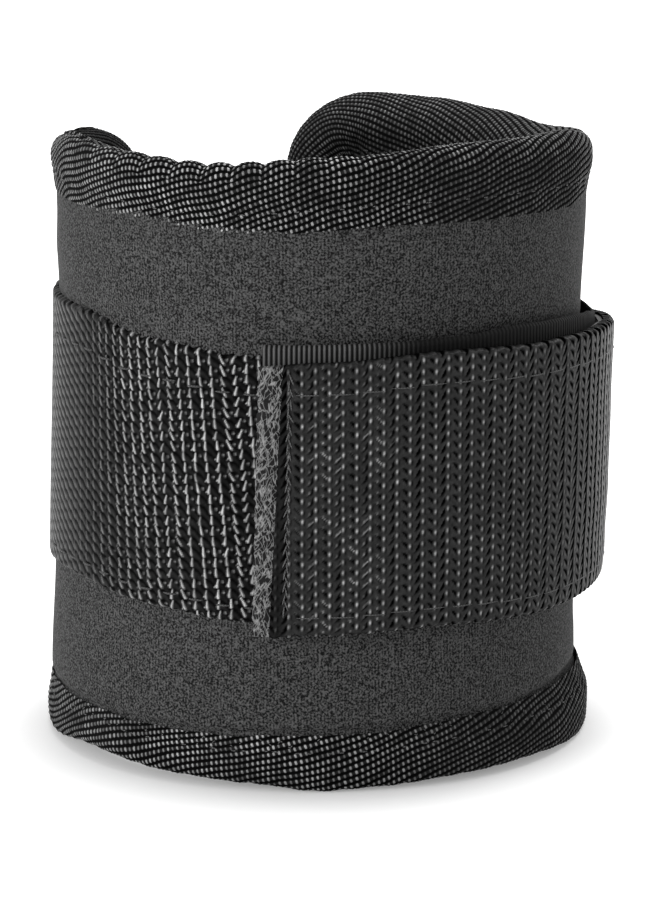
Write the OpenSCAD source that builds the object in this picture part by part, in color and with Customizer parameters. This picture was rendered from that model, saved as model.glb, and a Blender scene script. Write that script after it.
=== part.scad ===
/* [Cuff] */
// Height of the cuff from edge to edge
cuff_height = 116; // [104:1:140]
// Radius inside the closed cuff, at the binding
bore_r = 42.3; // [38:0.1:50]
// Angle from the front to the left end
left_end = 130; // [124:1:138]
// Angle from the front to the right end
right_end = 188; // [178:1:196]
// Angle from the front to the fold line on each side
fold_angle = 50; // [47:0.5:53]
// Radius of the rounded corners at both ends
corner_r = 17; // [14:0.5:22]

/* [Layers] */
// Thickness of the lining
lining_t = 1.6; // [1.2:0.1:3]
// Thickness of the core pad around the packs
core_t = 3.2; // [2:0.1:6]
// Thickness of the outer neoprene under the webbing
shell_t = 2; // [1.5:0.1:4]
// How far the neoprene swells beside the webbing
shell_flare = 0.8; // [0.3:0.1:1.1]

/* [Binding] */
// Thickness of the binding tape
binding_t = 0.9; // [0.5:0.1:1.1]
// Width of the tape's outer side along the top edge
binding_top_w = 12.5; // [8:0.5:15]
// Width of the tape's outer side along the bottom edge
binding_bottom_w = 10; // [8:0.5:15]
// Width of the tape's outer side along both ends
binding_end_w = 11; // [8:0.5:12.5]
// Radius of the tape over the folded edge
binding_fold_r = 3; // [2:0.1:3.5]

/* [Webbing] */
// Width of the webbing and of the strap
webbing_w = 50; // [40:1:54]
// Thickness of the webbing and of the strap
webbing_t = 2.1; // [1.6:0.1:2.6]
// Height of the webbing's lower edge
webbing_z = 32; // [28:0.5:36]
// Thickness of the loop tape on the right half
loop_t = 1.2; // [0.8:0.1:2]
// Angle from the front to the loop tape's left edge
loop_start = 11; // [10:0.5:20]

/* [Strap] */
// Thickness of the hook tape inside the strap
hook_t = 1; // [0.7:0.1:1.6]
// How far the closed strap lies below the webbing
strap_drop = 3; // [0:0.5:5]
// Angle from the front to the strap's tip, on the left
tip_angle = 9; // [4:0.5:9.5]
// Angle from the front to the strap's front bend line
tip_bend = 40; // [36:1:46]
// Angle from the front to the strap's rear bend line
side_bend = 125; // [118:1:132]
// Length of the strap's end that is sewn to the left wing
root_len = 11; // [9:0.5:14]
// Margin between the hook tape's ends and the strap's
hook_margin = 2; // [1:0.5:5]

/* [Weight packs] */
// Width of one pack, measured around the cuff
pack_w = 21.5; // [16:0.5:22.5]
// Height of one pack
pack_h = 84; // [60:1:88]

/* [Stitches] */
// Length of one stitch
stitch_l = 2.8; // [2:0.1:3.6]
// Width of one stitch
stitch_w = 0.7; // [0.5:0.1:1]
// Height of a stitch over the webbing
stitch_t = 0.3; // [0.2:0.1:0.5]
// Distance from one stitch to the next
stitch_pitch = 5.5; // [4.5:0.1:8]
// Distance of a stitch row from the edge
stitch_inset = 4; // [3:0.5:7]

/* [Clearances] */
// Gap between two pieces at a fold or bend line
fold_gap = 0.4; // [0.3:0.1:0.8]
// Gap between the closed hook and loop faces
hook_gap = 0.3; // [0.3:0.1:0.6]
// Gap between the free strap and the ends of the cuff
strap_gap = 0.4; // [0.3:0.1:1]
// Gap around a pack in its pocket
pack_gap = 0.3; // [0.2:0.1:0.5]
// Gap between the webbing's cut end and the binding
webbing_gap = 0.5; // [0.3:0.1:2]

/* [Hidden] */
$fn = 240;
fillet_steps = 5;
corner_steps = 8;
swell_steps = 6;
arc_step = 1.5;
front_packs = 3;
left_packs = 2;
right_packs = 4;
// How far cutting shapes run past what they trim: blocks, angles and faces
reach = 20;
over_angle = 6;
past = 1;
// The origin is in the middle of the bore, and heights are counted from the base
base_z = -cuff_height / 2;

lining_r = bore_r + binding_t;
core_r = lining_r + lining_t;
core_out_r = core_r + core_t;
waist_r = core_out_r + shell_t;
shell_r = waist_r + shell_flare;
tape_r = shell_r + binding_t;
webbing_out_r = waist_r + webbing_t;
loop_out_r = webbing_out_r + loop_t;
hook_r = loop_out_r + hook_gap;
strap_r = hook_r + hook_t;
strap_out_r = strap_r + webbing_t;
root_r = max(webbing_out_r, tape_r + strap_gap);
core_mid_r = (core_r + core_out_r) / 2;

webbing_top = webbing_z + webbing_w;
strap_z = webbing_z - strap_drop;
lower_swell = [binding_bottom_w, strap_z];
upper_swell = [cuff_height - binding_top_w, webbing_top];
shell_round = min(binding_fold_r - binding_t, shell_t);
lining_round = min(binding_fold_r - binding_t, 0.9 * lining_t);
window_r = corner_r - binding_end_w;
pack_z = (cuff_height - pack_h) / 2;
window_z = binding_bottom_w;
window_h = cuff_height - binding_bottom_w - binding_top_w;

half_gap = arc_deg(fold_gap / 2, waist_r);
webbing_inset = arc_deg(binding_end_w + webbing_gap, waist_r);
left_webbing_end = left_end - webbing_inset;
right_webbing_end = right_end - webbing_inset;
root_angle = 360 - left_webbing_end;
pack_angle = arc_deg(pack_w, core_mid_r);
pocket_angle = arc_deg(pack_w + 2 * pack_gap, core_mid_r);

// Angles run from the front (-Y) towards the right (+X), in degrees
function arc_deg(length, r) = length / r * 180 / PI;
function polar(r, a) = [r * sin(a), -r * cos(a)];
function fillet(x, z, r, a0, a1) =
    [for (i = [0:fillet_steps]) let (a = a0 + (a1 - a0) * i / fillet_steps) [x + r * cos(a), z + r * sin(a)]];

// Neoprene face from the binding, where it swells, to the webbing, which draws it in
function swell(from, to) =
    [for (i = [0:swell_steps])
        let (u = i / swell_steps)
        [waist_r + shell_flare * (1 + cos(180 * u)) / 2, from + (to - from) * u]];

// Rounded corner of an end, from a lead point past the edge to the end's straight side
function corner_point(x, z, r, up, i) =
    let (a = 90 - 90 * i / corner_steps) [x + r * cos(a), z + up * r * sin(a)];
function corner_points(x, z, r, up) =
    concat(
        [2 * corner_point(x, z, r, up, 0) - corner_point(x, z, r, up, 1)],
        [for (i = [1:corner_steps]) corner_point(x, z, r, up, i)]
    );

function reversed(list) = [for (i = [len(list) - 1:-1:0]) list[i]];

function outer_contour() =
    concat(
        fillet(shell_r - shell_round, binding_t + shell_round, shell_round, -90, 0),
        swell(lower_swell[0], lower_swell[1]),
        reversed(swell(upper_swell[0], upper_swell[1])),
        fillet(shell_r - shell_round, cuff_height - binding_t - shell_round, shell_round, 0, 90)
    );

function inner_contour() =
    concat(
        fillet(lining_r + lining_round, cuff_height - binding_t - lining_round, lining_round, 90, 180),
        fillet(lining_r + lining_round, binding_t + lining_round, lining_round, 180, 270)
    );

// Middle angle of one pack of a row that shares the stretch from one angle to another
function pack_middle(from, to, count, i) = from + (to - from) * (i + 0.5) / count;
function wing_pack_middle(end, count, i) =
    pack_middle(fold_angle, end - arc_deg(binding_end_w, core_mid_r), count, i);
function front_pack_middle(i) = pack_middle(-fold_angle, fold_angle, front_packs, i);

// Points along an arc, a fixed small angle apart
function arc_points(r, from, to) =
    let (count = ceil((to - from) / arc_step))
    [for (i = [0:count]) polar(r, from + (to - from) * i / count)];

// Angle of the outward normal of a straight run
function normal_angle(p, q) = (atan2(q.y - p.y, q.x - p.x) + 360) % 360;

// Profiles across the wall
module shell_profile() {
    polygon(concat(outer_contour(), [[core_out_r, cuff_height - binding_t], [core_out_r, binding_t]]));
}

module lining_profile() {
    polygon(concat([[core_r, binding_t], [core_r, cuff_height - binding_t]], inner_contour()));
}

module wall_profile() {
    polygon(concat(outer_contour(), inner_contour()));
}

module layer_profile(r, t, z, height) {
    translate([r, z])
        square([t, height]);
}

module core_profile() {
    layer_profile(core_r, core_t, binding_t, cuff_height - 2 * binding_t);
}

module tape_profile() {
    polygon(concat(
        fillet(tape_r - binding_fold_r, binding_fold_r, binding_fold_r, -90, 0),
        fillet(tape_r - binding_fold_r, cuff_height - binding_fold_r, binding_fold_r, 0, 90),
        fillet(bore_r + binding_fold_r, cuff_height - binding_fold_r, binding_fold_r, 90, 180),
        fillet(bore_r + binding_fold_r, binding_fold_r, binding_fold_r, 180, 270)
    ));
}

// A profile swept around the cuff's axis from one angle to another
module sector(from, to) {
    translate([0, 0, base_z])
        rotate([0, 0, from - 90])
            rotate_extrude(angle = to - from)
                children();
}

module layer(r, t, z, height, from, to) {
    sector(from, to)
        layer_profile(r, t, z, height);
}

module front_sector() {
    sector(half_gap - fold_angle, fold_angle - half_gap)
        children();
}

// What lies past an end with two rounded corners, in the plane that touches the wall there
module end_outline(inset, z0, z1, r) {
    polygon(concat(
        corner_points(-inset - r, z1 - r, r, 1),
        reversed(corner_points(-inset - r, z0 + r, r, -1)),
        [[reach, -reach], [reach, cuff_height + reach]]
    ));
}

module end_block(end, inset, z0, z1, r) {
    rotate([0, 0, end - 90])
        translate([bore_r - reach, 0, base_z])
            rotate([90, 0, 90])
                linear_extrude(strap_out_r - bore_r + 2 * reach)
                    end_outline(inset, z0, z1, r);
}

// A wing's layer from a start angle to its rounded end, for the right side
module wing(start, end, inset, z0, z1, r) {
    difference() {
        sector(start, end + over_angle)
            children();
        end_block(end, inset, z0, z1, r);
    }
}

module wing_wall(start, end) {
    wing(start, end, binding_t, binding_t, cuff_height - binding_t, corner_r - binding_t)
        children();
}

// The bare part of a wing that its binding frames
module wing_window(start, end) {
    wing(start, end, binding_end_w, window_z, window_z + window_h, window_r)
        children();
}

module wing_binding(end) {
    difference() {
        wing(fold_angle + half_gap, end, 0, 0, cuff_height, corner_r)
            tape_profile();
        wing_wall(fold_angle - over_angle, end)
            wall_profile();
        wing_window(fold_angle - over_angle, end)
            layer_profile(bore_r - reach, tape_r - bore_r + 2 * reach, window_z, window_h);
    }
}

// The lining swells between its bindings until it is flush with them
module swell_profile() {
    layer_profile(bore_r, binding_t + lining_t / 2, window_z, window_h);
}

module wing_lining(end) {
    wing_wall(fold_angle + half_gap, end)
        lining_profile();
    wing_window(fold_angle + half_gap, end)
        swell_profile();
}

module front_binding(z, height) {
    front_sector()
        difference() {
            intersection() {
                tape_profile();
                layer_profile(bore_r - past, tape_r - bore_r + 2 * past, z, height);
            }
            wall_profile();
        }
}

module pocket(middle) {
    layer(core_r - past, core_t + 2 * past, pack_z - pack_gap, pack_h + 2 * pack_gap,
        middle - pocket_angle / 2, middle + pocket_angle / 2);
}

module weight_pack(middle) {
    color("slategray")
        layer(core_r + pack_gap / 2, core_t - pack_gap, pack_z, pack_h,
            middle - pack_angle / 2, middle + pack_angle / 2);
}

module left_side() {
    mirror([1, 0, 0])
        children();
}

module wing_core(end, count) {
    difference() {
        wing_wall(fold_angle + half_gap, end)
            core_profile();
        for (i = [0:count - 1])
            pocket(wing_pack_middle(end, count, i));
    }
}

// Plan of the strap between its bend line and its sewn end: around the right wing, then straight
// over both ends of the cuff, then around the left wing
module strap_back_plan() {
    from = side_bend + half_gap;
    to = root_angle - half_gap;
    leave = polar(strap_r, right_webbing_end);
    edge = polar(tape_r + strap_gap, right_end);
    land = polar(root_r, 360 - left_end);
    first = polar(webbing_t, normal_angle(leave, edge));
    second = polar(webbing_t, normal_angle(edge, land));
    inside = concat(
        arc_points(strap_r, from, right_webbing_end),
        [edge],
        arc_points(root_r, 360 - left_end, to)
    );
    outside = concat(
        arc_points(strap_out_r, from, right_webbing_end),
        [leave + first, edge + first, edge + second, land + second],
        arc_points(root_r + webbing_t, 360 - left_end, to)
    );
    polygon(concat(inside, reversed(outside)));
}

// Rows of single stitches lying on a webbing face
module stitch_row_around(r, z, from, to) {
    step = arc_deg(stitch_pitch, r);
    stitch = arc_deg(stitch_l, r);
    count = floor((to - from - stitch) / step);
    for (i = [0:count])
        layer(r, stitch_t, z - stitch_w / 2, stitch_w, from + i * step, from + i * step + stitch);
}

module stitch_row_up(r, a, z0, z1) {
    half = arc_deg(stitch_w / 2, r);
    count = floor((z1 - z0 - stitch_l) / stitch_pitch);
    for (i = [0:count])
        layer(r, stitch_t, z0 + i * stitch_pitch, stitch_l, a - half, a + half);
}

module shell_front() {
    color("#444444")
        front_sector()
            shell_profile();
}

module shell_left() {
    color("#444444")
        left_side()
            wing_wall(fold_angle + half_gap, left_end)
                shell_profile();
}

module shell_right() {
    color("#444444")
        wing_wall(fold_angle + half_gap, right_end)
            shell_profile();
}

module lining_front() {
    color("#2e2e2e")
        front_sector() {
            lining_profile();
            swell_profile();
        }
}

module lining_left() {
    color("#2e2e2e")
        left_side()
            wing_lining(left_end);
}

module lining_right() {
    color("#2e2e2e")
        wing_lining(right_end);
}

module core_front() {
    color("dimgray")
        difference() {
            front_sector()
                core_profile();
            for (i = [0:front_packs - 1])
                pocket(front_pack_middle(i));
        }
}

module core_left() {
    color("dimgray")
        left_side()
            wing_core(left_end, left_packs);
}

module core_right() {
    color("dimgray")
        wing_core(right_end, right_packs);
}

module binding_top_front() {
    color("#202020")
        front_binding(cuff_height - binding_top_w, binding_top_w);
}

module binding_bottom_front() {
    color("#202020")
        front_binding(0, binding_bottom_w);
}

module binding_left() {
    color("#202020")
        left_side()
            wing_binding(left_end);
}

module binding_right() {
    color("#202020")
        wing_binding(right_end);
}

module webbing_front() {
    color("#2a2a2a")
        layer(waist_r, webbing_t, webbing_z, webbing_w, half_gap - fold_angle, fold_angle - half_gap);
}

module webbing_left() {
    color("#2a2a2a")
        layer(waist_r, webbing_t, webbing_z, webbing_w, -left_webbing_end, -fold_angle - half_gap);
}

module webbing_right() {
    color("#2a2a2a")
        layer(waist_r, webbing_t, webbing_z, webbing_w, fold_angle + half_gap, right_webbing_end);
}

module loop_tape_front() {
    color("#1c1c1c")
        layer(webbing_out_r, loop_t, webbing_z, webbing_w, -loop_start, fold_angle - half_gap);
}

module loop_tape_right() {
    color("#1c1c1c")
        layer(webbing_out_r, loop_t, webbing_z, webbing_w, fold_angle + half_gap, right_webbing_end);
}

module strap_root() {
    color("#2a2a2a")
        layer(webbing_out_r, webbing_t, webbing_z, webbing_w,
            root_angle + half_gap, root_angle + arc_deg(root_len, webbing_out_r));
}

module strap_back() {
    color("#2a2a2a")
        translate([0, 0, base_z + strap_z])
            linear_extrude(webbing_w)
                strap_back_plan();
}

module strap_side() {
    color("#2a2a2a")
        layer(strap_r, webbing_t, strap_z, webbing_w, tip_bend + half_gap, side_bend - half_gap);
}

module strap_front() {
    color("#2a2a2a")
        layer(strap_r, webbing_t, strap_z, webbing_w, -tip_angle, tip_bend - half_gap);
}

module hook_tape_side() {
    margin = arc_deg(hook_margin, hook_r);
    color("#303030")
        layer(hook_r, hook_t, strap_z, webbing_w, tip_bend + half_gap, side_bend - margin);
}

module hook_tape_front() {
    margin = arc_deg(hook_margin, hook_r);
    color("#303030")
        layer(hook_r, hook_t, strap_z, webbing_w, margin - tip_angle, tip_bend - half_gap);
}

module webbing_stitches_left() {
    color("#707070")
        for (z = [webbing_z + stitch_inset, webbing_top - stitch_inset])
            stitch_row_around(webbing_out_r, z,
                root_angle + arc_deg(root_len + stitch_l, webbing_out_r), 360 - fold_angle - 2 * half_gap);
}

module root_stitches() {
    r = webbing_out_r + webbing_t;
    color("#707070")
        for (s = [stitch_inset / 2, root_len - stitch_inset / 2])
            stitch_row_up(r, root_angle + arc_deg(s, r), webbing_z + stitch_inset, webbing_top - stitch_inset);
}

module strap_stitches_side() {
    color("#707070")
        for (z = [strap_z + stitch_inset, strap_z + webbing_w - stitch_inset])
            stitch_row_around(strap_out_r, z, tip_bend + 2 * half_gap, side_bend - 2 * half_gap);
}

module strap_stitches_front() {
    row = arc_deg(stitch_inset, strap_out_r) - tip_angle;
    color("#707070") {
        stitch_row_up(strap_out_r, row, strap_z + stitch_inset, strap_z + webbing_w - stitch_inset);
        for (z = [strap_z + stitch_inset, strap_z + webbing_w - stitch_inset])
            stitch_row_around(strap_out_r, z, row + arc_deg(stitch_l, strap_out_r), tip_bend - 2 * half_gap);
    }
}

shell_front();
shell_left();
shell_right();
lining_front();
lining_left();
lining_right();
core_front();
core_left();
core_right();
weight_pack(-wing_pack_middle(left_end, left_packs, 1));  // weight_pack_1
weight_pack(-wing_pack_middle(left_end, left_packs, 0));  // weight_pack_2
weight_pack(front_pack_middle(0));  // weight_pack_3
weight_pack(front_pack_middle(1));  // weight_pack_4
weight_pack(front_pack_middle(2));  // weight_pack_5
weight_pack(wing_pack_middle(right_end, right_packs, 0));  // weight_pack_6
weight_pack(wing_pack_middle(right_end, right_packs, 1));  // weight_pack_7
weight_pack(wing_pack_middle(right_end, right_packs, 2));  // weight_pack_8
weight_pack(wing_pack_middle(right_end, right_packs, 3));  // weight_pack_9
binding_top_front();
binding_bottom_front();
binding_left();
binding_right();
webbing_front();
webbing_left();
webbing_right();
loop_tape_front();
loop_tape_right();
strap_root();
strap_back();
strap_side();
strap_front();
hook_tape_side();
hook_tape_front();
webbing_stitches_left();
root_stitches();
strap_stitches_side();
strap_stitches_front();
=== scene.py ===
import math

import bpy
import numpy as np
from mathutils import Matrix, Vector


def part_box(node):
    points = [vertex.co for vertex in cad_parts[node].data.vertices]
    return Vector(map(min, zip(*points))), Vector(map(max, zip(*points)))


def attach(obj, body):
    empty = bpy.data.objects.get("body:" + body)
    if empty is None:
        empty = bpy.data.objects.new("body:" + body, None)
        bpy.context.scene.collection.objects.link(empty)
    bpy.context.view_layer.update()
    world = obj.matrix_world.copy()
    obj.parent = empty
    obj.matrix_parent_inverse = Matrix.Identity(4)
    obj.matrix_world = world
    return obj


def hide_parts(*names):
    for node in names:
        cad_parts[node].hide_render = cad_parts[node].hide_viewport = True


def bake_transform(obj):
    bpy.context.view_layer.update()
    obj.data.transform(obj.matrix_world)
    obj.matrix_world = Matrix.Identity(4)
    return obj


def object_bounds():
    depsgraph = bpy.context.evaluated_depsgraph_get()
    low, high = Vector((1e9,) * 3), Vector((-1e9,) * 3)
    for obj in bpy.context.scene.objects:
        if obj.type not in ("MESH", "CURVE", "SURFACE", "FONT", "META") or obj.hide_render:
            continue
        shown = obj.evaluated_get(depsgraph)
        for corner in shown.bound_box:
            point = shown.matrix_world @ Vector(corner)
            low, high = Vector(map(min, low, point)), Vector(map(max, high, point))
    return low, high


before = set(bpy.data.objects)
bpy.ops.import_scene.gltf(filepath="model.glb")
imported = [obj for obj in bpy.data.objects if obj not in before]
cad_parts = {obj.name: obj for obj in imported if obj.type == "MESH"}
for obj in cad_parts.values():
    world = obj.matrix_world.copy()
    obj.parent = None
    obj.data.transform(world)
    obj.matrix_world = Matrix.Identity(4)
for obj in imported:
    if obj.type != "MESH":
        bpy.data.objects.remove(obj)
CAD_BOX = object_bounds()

bl_info = {
    "name": "Ankle cuff weight",
    "version": (1, 0, 0),
    "blender": (4, 5, 0),
    "location": "3D View > Sidebar > Cuff",
    "description": "Soft pieces and finishes of a wrap-around ankle cuff weight",
    "category": "Object",
}

MM = 0.001
BASE = CAD_BOX[0].z


def front_radius(node):
    """Distance from the axis to a node's outer face at the front."""
    return -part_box(node)[0].y


def length(name, description, value):
    """A length property."""
    return bpy.props.FloatProperty(name=name, description=description, default=value, unit="LENGTH")


def direction(name, description, degrees):
    """An angle property, given in degrees."""
    return bpy.props.FloatProperty(
        name=name, description=description, default=math.radians(degrees), subtype="ANGLE")


def colour(name, description, value):
    """A colour property with one grey as its default."""
    return bpy.props.FloatVectorProperty(
        name=name, description=description, default=(value, value, value), size=3, subtype="COLOR",
        min=0, max=1)


class CuffSizes(bpy.types.PropertyGroup):
    height: length("Height", "Height of the cuff from edge to edge", CAD_BOX[1].z - CAD_BOX[0].z)
    bore: length("Bore radius", "Radius inside the closed cuff", 42.3 * MM)
    tape: length("Binding radius", "Radius of the binding's outer face", front_radius("binding_top_front"))
    waist: length("Waist radius", "Radius of the neoprene under the webbing", 50.0 * MM)
    flare: length("Flare", "How far the neoprene swells beside the webbing", 0.9 * MM)
    webbing: length(
        "Webbing radius", "Radius of the sewn webbing's outer face", front_radius("webbing_front"))
    loop: length("Loop radius", "Radius of the loop band's outer face", front_radius("loop_tape_front"))
    webbing_thickness: length("Webbing thickness", "Thickness of the webbing and the strap", 2.1 * MM)
    webbing_width: length("Webbing width", "Width of the webbing and the strap", 50 * MM)
    left_end: direction("Left end", "Angle from the front to the left end", 130)
    right_end: direction("Right end", "Angle from the front to the right end", 188)
    corner: length("Corner radius", "Radius of the rounded corners at both ends", 17 * MM)
    top_hem: length("Top hem", "Width of the binding's outer side along the top", 12.5 * MM)
    bottom_hem: length("Bottom hem", "Width of the binding's outer side along the bottom", 10 * MM)
    end_hem: length("End hem", "Width of the binding's outer side along both ends", 11 * MM)


class CuffWeaves(bpy.types.PropertyGroup):
    column: length("Webbing column", "Width of one column of the webbing's weave", 2.38 * MM)
    row: length("Webbing row", "Height of one row of the webbing's weave", 1.95 * MM)
    yarn: length("Yarn relief", "How far a yarn stands out of the webbing", 0.4 * MM)
    rib: length("Rib pitch", "Distance between two ribs of the binding tape", 1.22 * MM)
    rib_slope: direction("Rib slope", "Slope of the binding tape's ribs", 17.5)
    rib_relief: length("Rib relief", "How far a rib stands out of the binding tape", 0.2 * MM)
    dot: length("Rib dot", "Distance between two yarn crowns along a rib", 0.96 * MM)
    scallop_depth: length("Scallop depth", "How far the sewing pulls the top edge in", 1.2 * MM)
    stitch: length("Stitch length", "Length of one stitch", 2.9 * MM)
    stitch_pitch: length("Stitch pitch", "Distance from one stitch to the next", 5.6 * MM)


class CuffColours(bpy.types.PropertyGroup):
    neoprene: colour("Neoprene", "Jersey face of the neoprene", 0.037)
    lining: colour("Lining", "Brushed lining inside the cuff", 0.018)
    # The crowns' light grey is painted highlight: glints on the binding's dark yarns
    tape: colour("Binding", "Crowns of the binding tape's yarns", 0.42)
    webbing: colour("Webbing", "Yarns of the webbing and the strap", 0.026)
    loop: colour("Loop band", "Pile and selvage of the loop band", 0.022)
    hook: colour("Hook band", "Hooks inside the strap", 0.02)
    thread: colour("Thread", "Sewing thread", 0.05)
    # Colour of the painted highlights on the webbing's yarn ends
    painted_glint: colour("Gloss", "Glossy ends of the webbing's yarns", 0.75)
    felt: colour("Strap end", "Cut, frayed end of the strap", 0.085)
    foam: colour("Foam", "Pad between the packs", 0.06)
    pack: colour("Pack", "Pouches that hold the weights", 0.04)


def sizes():
    return bpy.context.scene.cuff_sizes


def weaves():
    return bpy.context.scene.cuff_weaves


def colours():
    return bpy.context.scene.cuff_colours


RIGHT, LEFT = 1, -1
UPPER, LOWER = 1, -1
SIDE = {RIGHT: "right", LEFT: "left"}
LEVEL = {UPPER: "upper", LOWER: "lower"}

# Heights above the base
MID_HEIGHT = 58 * MM
WEBBING_LOW, WEBBING_HIGH = 32 * MM, 82 * MM
STRAP_LOW, STRAP_HIGH = 29 * MM, 79 * MM

# One seed for each kind of unevenness
SEED = {
    "face": 3, "sway": 5, "lining": 8, "pile": 11, "hem": 21, "fringe": 31, "rib run": 41, "rib reach": 51,
    "overlock": 61, "loose thread": 71, "chain": 73, "fleck": 81, "stroke": 83, "slit": 85,
}

# Shapes: every surface is a function of an angle from the front (towards +X), a distance from the
# axis and a height above the base

def polar(angle, radius, height):
    """Points at an angle from the front, a distance from the axis and a height above the base."""
    angle, radius, height = np.broadcast_arrays(angle, radius, height)
    return np.stack([radius * np.sin(angle), -radius * np.cos(angle), height + BASE], -1)


def eased(x, stations):
    """Value at x on a line through (place, value) stations that eases from each to the next."""
    places, values = np.array(stations, float).T
    i = np.clip(np.searchsorted(places, x) - 1, 0, len(places) - 2)
    t = np.clip((x - places[i]) / (places[i + 1] - places[i]), 0, 1)
    return values[i] + (values[i + 1] - values[i]) * t * t * (3 - 2 * t)


def ramp(x, low, high):
    """Smooth step from 0 at low to 1 at high."""
    t = np.clip((x - low) / (high - low), 0, 1)
    return t * t * (3 - 2 * t)


def spot(x, middle, width):
    """Bell curve round a middle."""
    return np.exp(-((x - middle) / width) ** 2)


def wobble(a, b, seed, waves=6):
    """Slow unevenness between -1 and 1: a sum of seeded sine waves over two coordinates."""
    rng = np.random.default_rng(seed)
    total = 0
    for strength in np.linspace(1, 0.4, waves):
        turn, speed, phase = rng.uniform(0, 2 * np.pi), rng.uniform(0.5, 1.6), rng.uniform(0, 2 * np.pi)
        total = total + strength * np.sin(speed * (a * np.cos(turn) + b * np.sin(turn)) + phase)
    return total / (0.5 * waves)


# How the soft edges lie, in degrees from the front and millimetres off their nominal height
TOP_EDGE = ((-130, -3.4), (-118, -3.5), (-104, -3.2), (-86, -2.1), (-68, 0.4), (-46, -0.3), (-26, -0.8),
            (5, 0.8), (32, 2.2), (60, 1.8), (95, -2.0), (118, -3.4), (136, -2.0), (152, -0.8), (168, -0.3),
            (188, -0.4))
TOP_HEM = ((-130, 0), (-75, 0.8), (-22, -1.3), (16, 0.8), (40, 0.7), (70, -0.3), (120, -0.5), (188, 0))
BOTTOM_EDGE = ((-130, 0), (-95, -0.9), (-80, -0.9), (-56, 1.6), (-32, 0.6), (-14, 0.2), (0, -0.9), (12, -0.4),
               (30, 0.2), (48, 0.3), (80, -1.2), (120, 0), (188, 0))
BOTTOM_HEM = ((-130, 0), (-62, -0.5), (-27, -0.9), (6, 0), (40, 1.3), (75, 2.2), (130, 0.6), (188, 0))
WEBBING_TOP = ((-118, 1.2), (-88, 2.9), (-60, 3.0), (-38, 0.2), (-15, -1.5), (10, -1.0), (52, 0), (66, -1.2),
               (90, -1.4), (130, -0.5), (175, 0))
WEBBING_FOOT = ((-118, 0), (-62, 1.8), (-38, 0.1), (-15, -1.3), (10, -0.5), (60, 0), (175, 0))
LOOP_EDGE = ((-12, 1.0), (14, 1.3), (30, 1.6), (44, 2.1), (55, 1.6), (66, 1.0), (74, 0.2), (85, -1.4),
             (96, -2.2), (110, -2.2), (140, -1.2), (175, 0))
STRAP_TOP = ((-12, 0.6), (0, 1.4), (24, 2.7), (50, 1.8), (75, 1.1), (92, -0.6), (110, -2.0), (140, -1.2),
             (170, 0), (244, 3), (256, 3))
STRAP_FOOT = ((-12, 0.3), (0, 1.1), (20, 1.8), (52, 0.5), (85, 0.8), (170, 0.2), (244, 3), (256, 3))
# How the sides stand, in millimetres above the base and off their nominal radius
SIDE_LEAN = ((0, 1.5), (20, 1.5), (92, 0), (101, -0.5), (116, -1.0))
HEM_TUCK = ((0, 0), (6, 0), (12, -0.9), (20, -0.7), (32, 0))
SIDE_TUCK = ((25, -2.3), (36, -1.5), (48, -1.0), (62, -0.7), (82, -0.2))


def edge_offset(angle, stations):
    """Offset of a soft edge at an angle."""
    return eased(np.degrees(angle), stations) * MM


def lean(angle, height):
    """The left side stands wider at its foot and narrower at its top, and the right side draws in over
    the lower hem: most at the far left and right, fading away."""
    left, right = (np.maximum(side * np.sin(angle), 0) ** 1.5 for side in (LEFT, RIGHT))
    return (left * eased(height / MM, SIDE_LEAN) + right * eased(height / MM, HEM_TUCK)) * MM


def tuck(angle, height):
    """The closed strap draws in towards its lower edge on the right."""
    return np.maximum(np.sin(angle), 0) ** 1.5 * eased(height / MM, SIDE_TUCK) * MM


def face_radius(angle, height):
    """Neoprene face: waisted under the webbing, swelling towards both bindings, a little uneven."""
    s = sizes()
    upper = ramp(height, 80 * MM, s.height - s.top_hem)
    lower = 1 - ramp(height, s.bottom_hem, 32 * MM)
    rough = wobble(angle * 5, height / (9 * MM), SEED["face"]) * 0.2 * MM
    brim = s.bottom_hem + edge_offset(angle, BOTTOM_HEM)
    groove = spot(height - brim, 0.3 * MM, 0.7 * MM) * 0.7 * MM
    return (s.waist + s.flare * np.maximum(upper, lower) + rough - groove + lean(angle, height)
            - 0.3 * MM * np.maximum(np.sin(angle), 0))


# Meshes

SHARP = math.radians(65)


def grid_faces(index, wrap=False):
    """Quads between neighbouring points of a grid of vertex numbers."""
    if wrap:
        index = np.concatenate([index, index[:, :1]], 1)
    corners = index[:-1, :-1], index[1:, :-1], index[1:, 1:], index[:-1, 1:]
    return np.stack(corners, -1).reshape(-1, 4)


def new_object(name, points, faces, finish, cloth=None, fields=None):
    """One closed mesh, turned outwards by the sign of its volume, with its cloth coordinates as a UV
    map and its weave's fields as attributes."""
    points = points.reshape(-1, 3)
    quads, others = faces
    fans = [(f[0], f[i], f[i + 1]) for f in others for i in range(1, len(f) - 1)]
    fans = np.array(fans, int).reshape(-1, 3)
    triangles = np.concatenate([quads[:, [0, 1, 2]], quads[:, [0, 2, 3]], fans])
    a, b, c = (points[triangles[:, i]] for i in range(3))
    if np.einsum("ij,ij->i", a, np.cross(b, c)).sum() < 0:
        quads, others = quads[:, ::-1], [f[::-1] for f in others]
    mesh = bpy.data.meshes.new(name)
    mesh.from_pydata(points.tolist(), [], quads.tolist() + [list(f) for f in others])
    corner = np.empty(len(mesh.loops), np.int32)
    mesh.loops.foreach_get("vertex_index", corner)
    if cloth is not None:
        layer = mesh.uv_layers.new(name="cloth")
        layer.data.foreach_set("uv", cloth.reshape(-1, 2)[corner].astype(np.float32).ravel())
    for key, values in (fields or {}).items():
        field = mesh.attributes.new(key, "FLOAT", "POINT")
        field.data.foreach_set("value", values.astype(np.float32).ravel())
    mesh.shade_smooth()
    mesh.set_sharp_from_angle(angle=SHARP)
    mesh.materials.append(finish)
    made = bpy.data.objects.new(name, mesh)
    bpy.context.scene.collection.objects.link(made)
    return made


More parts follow.
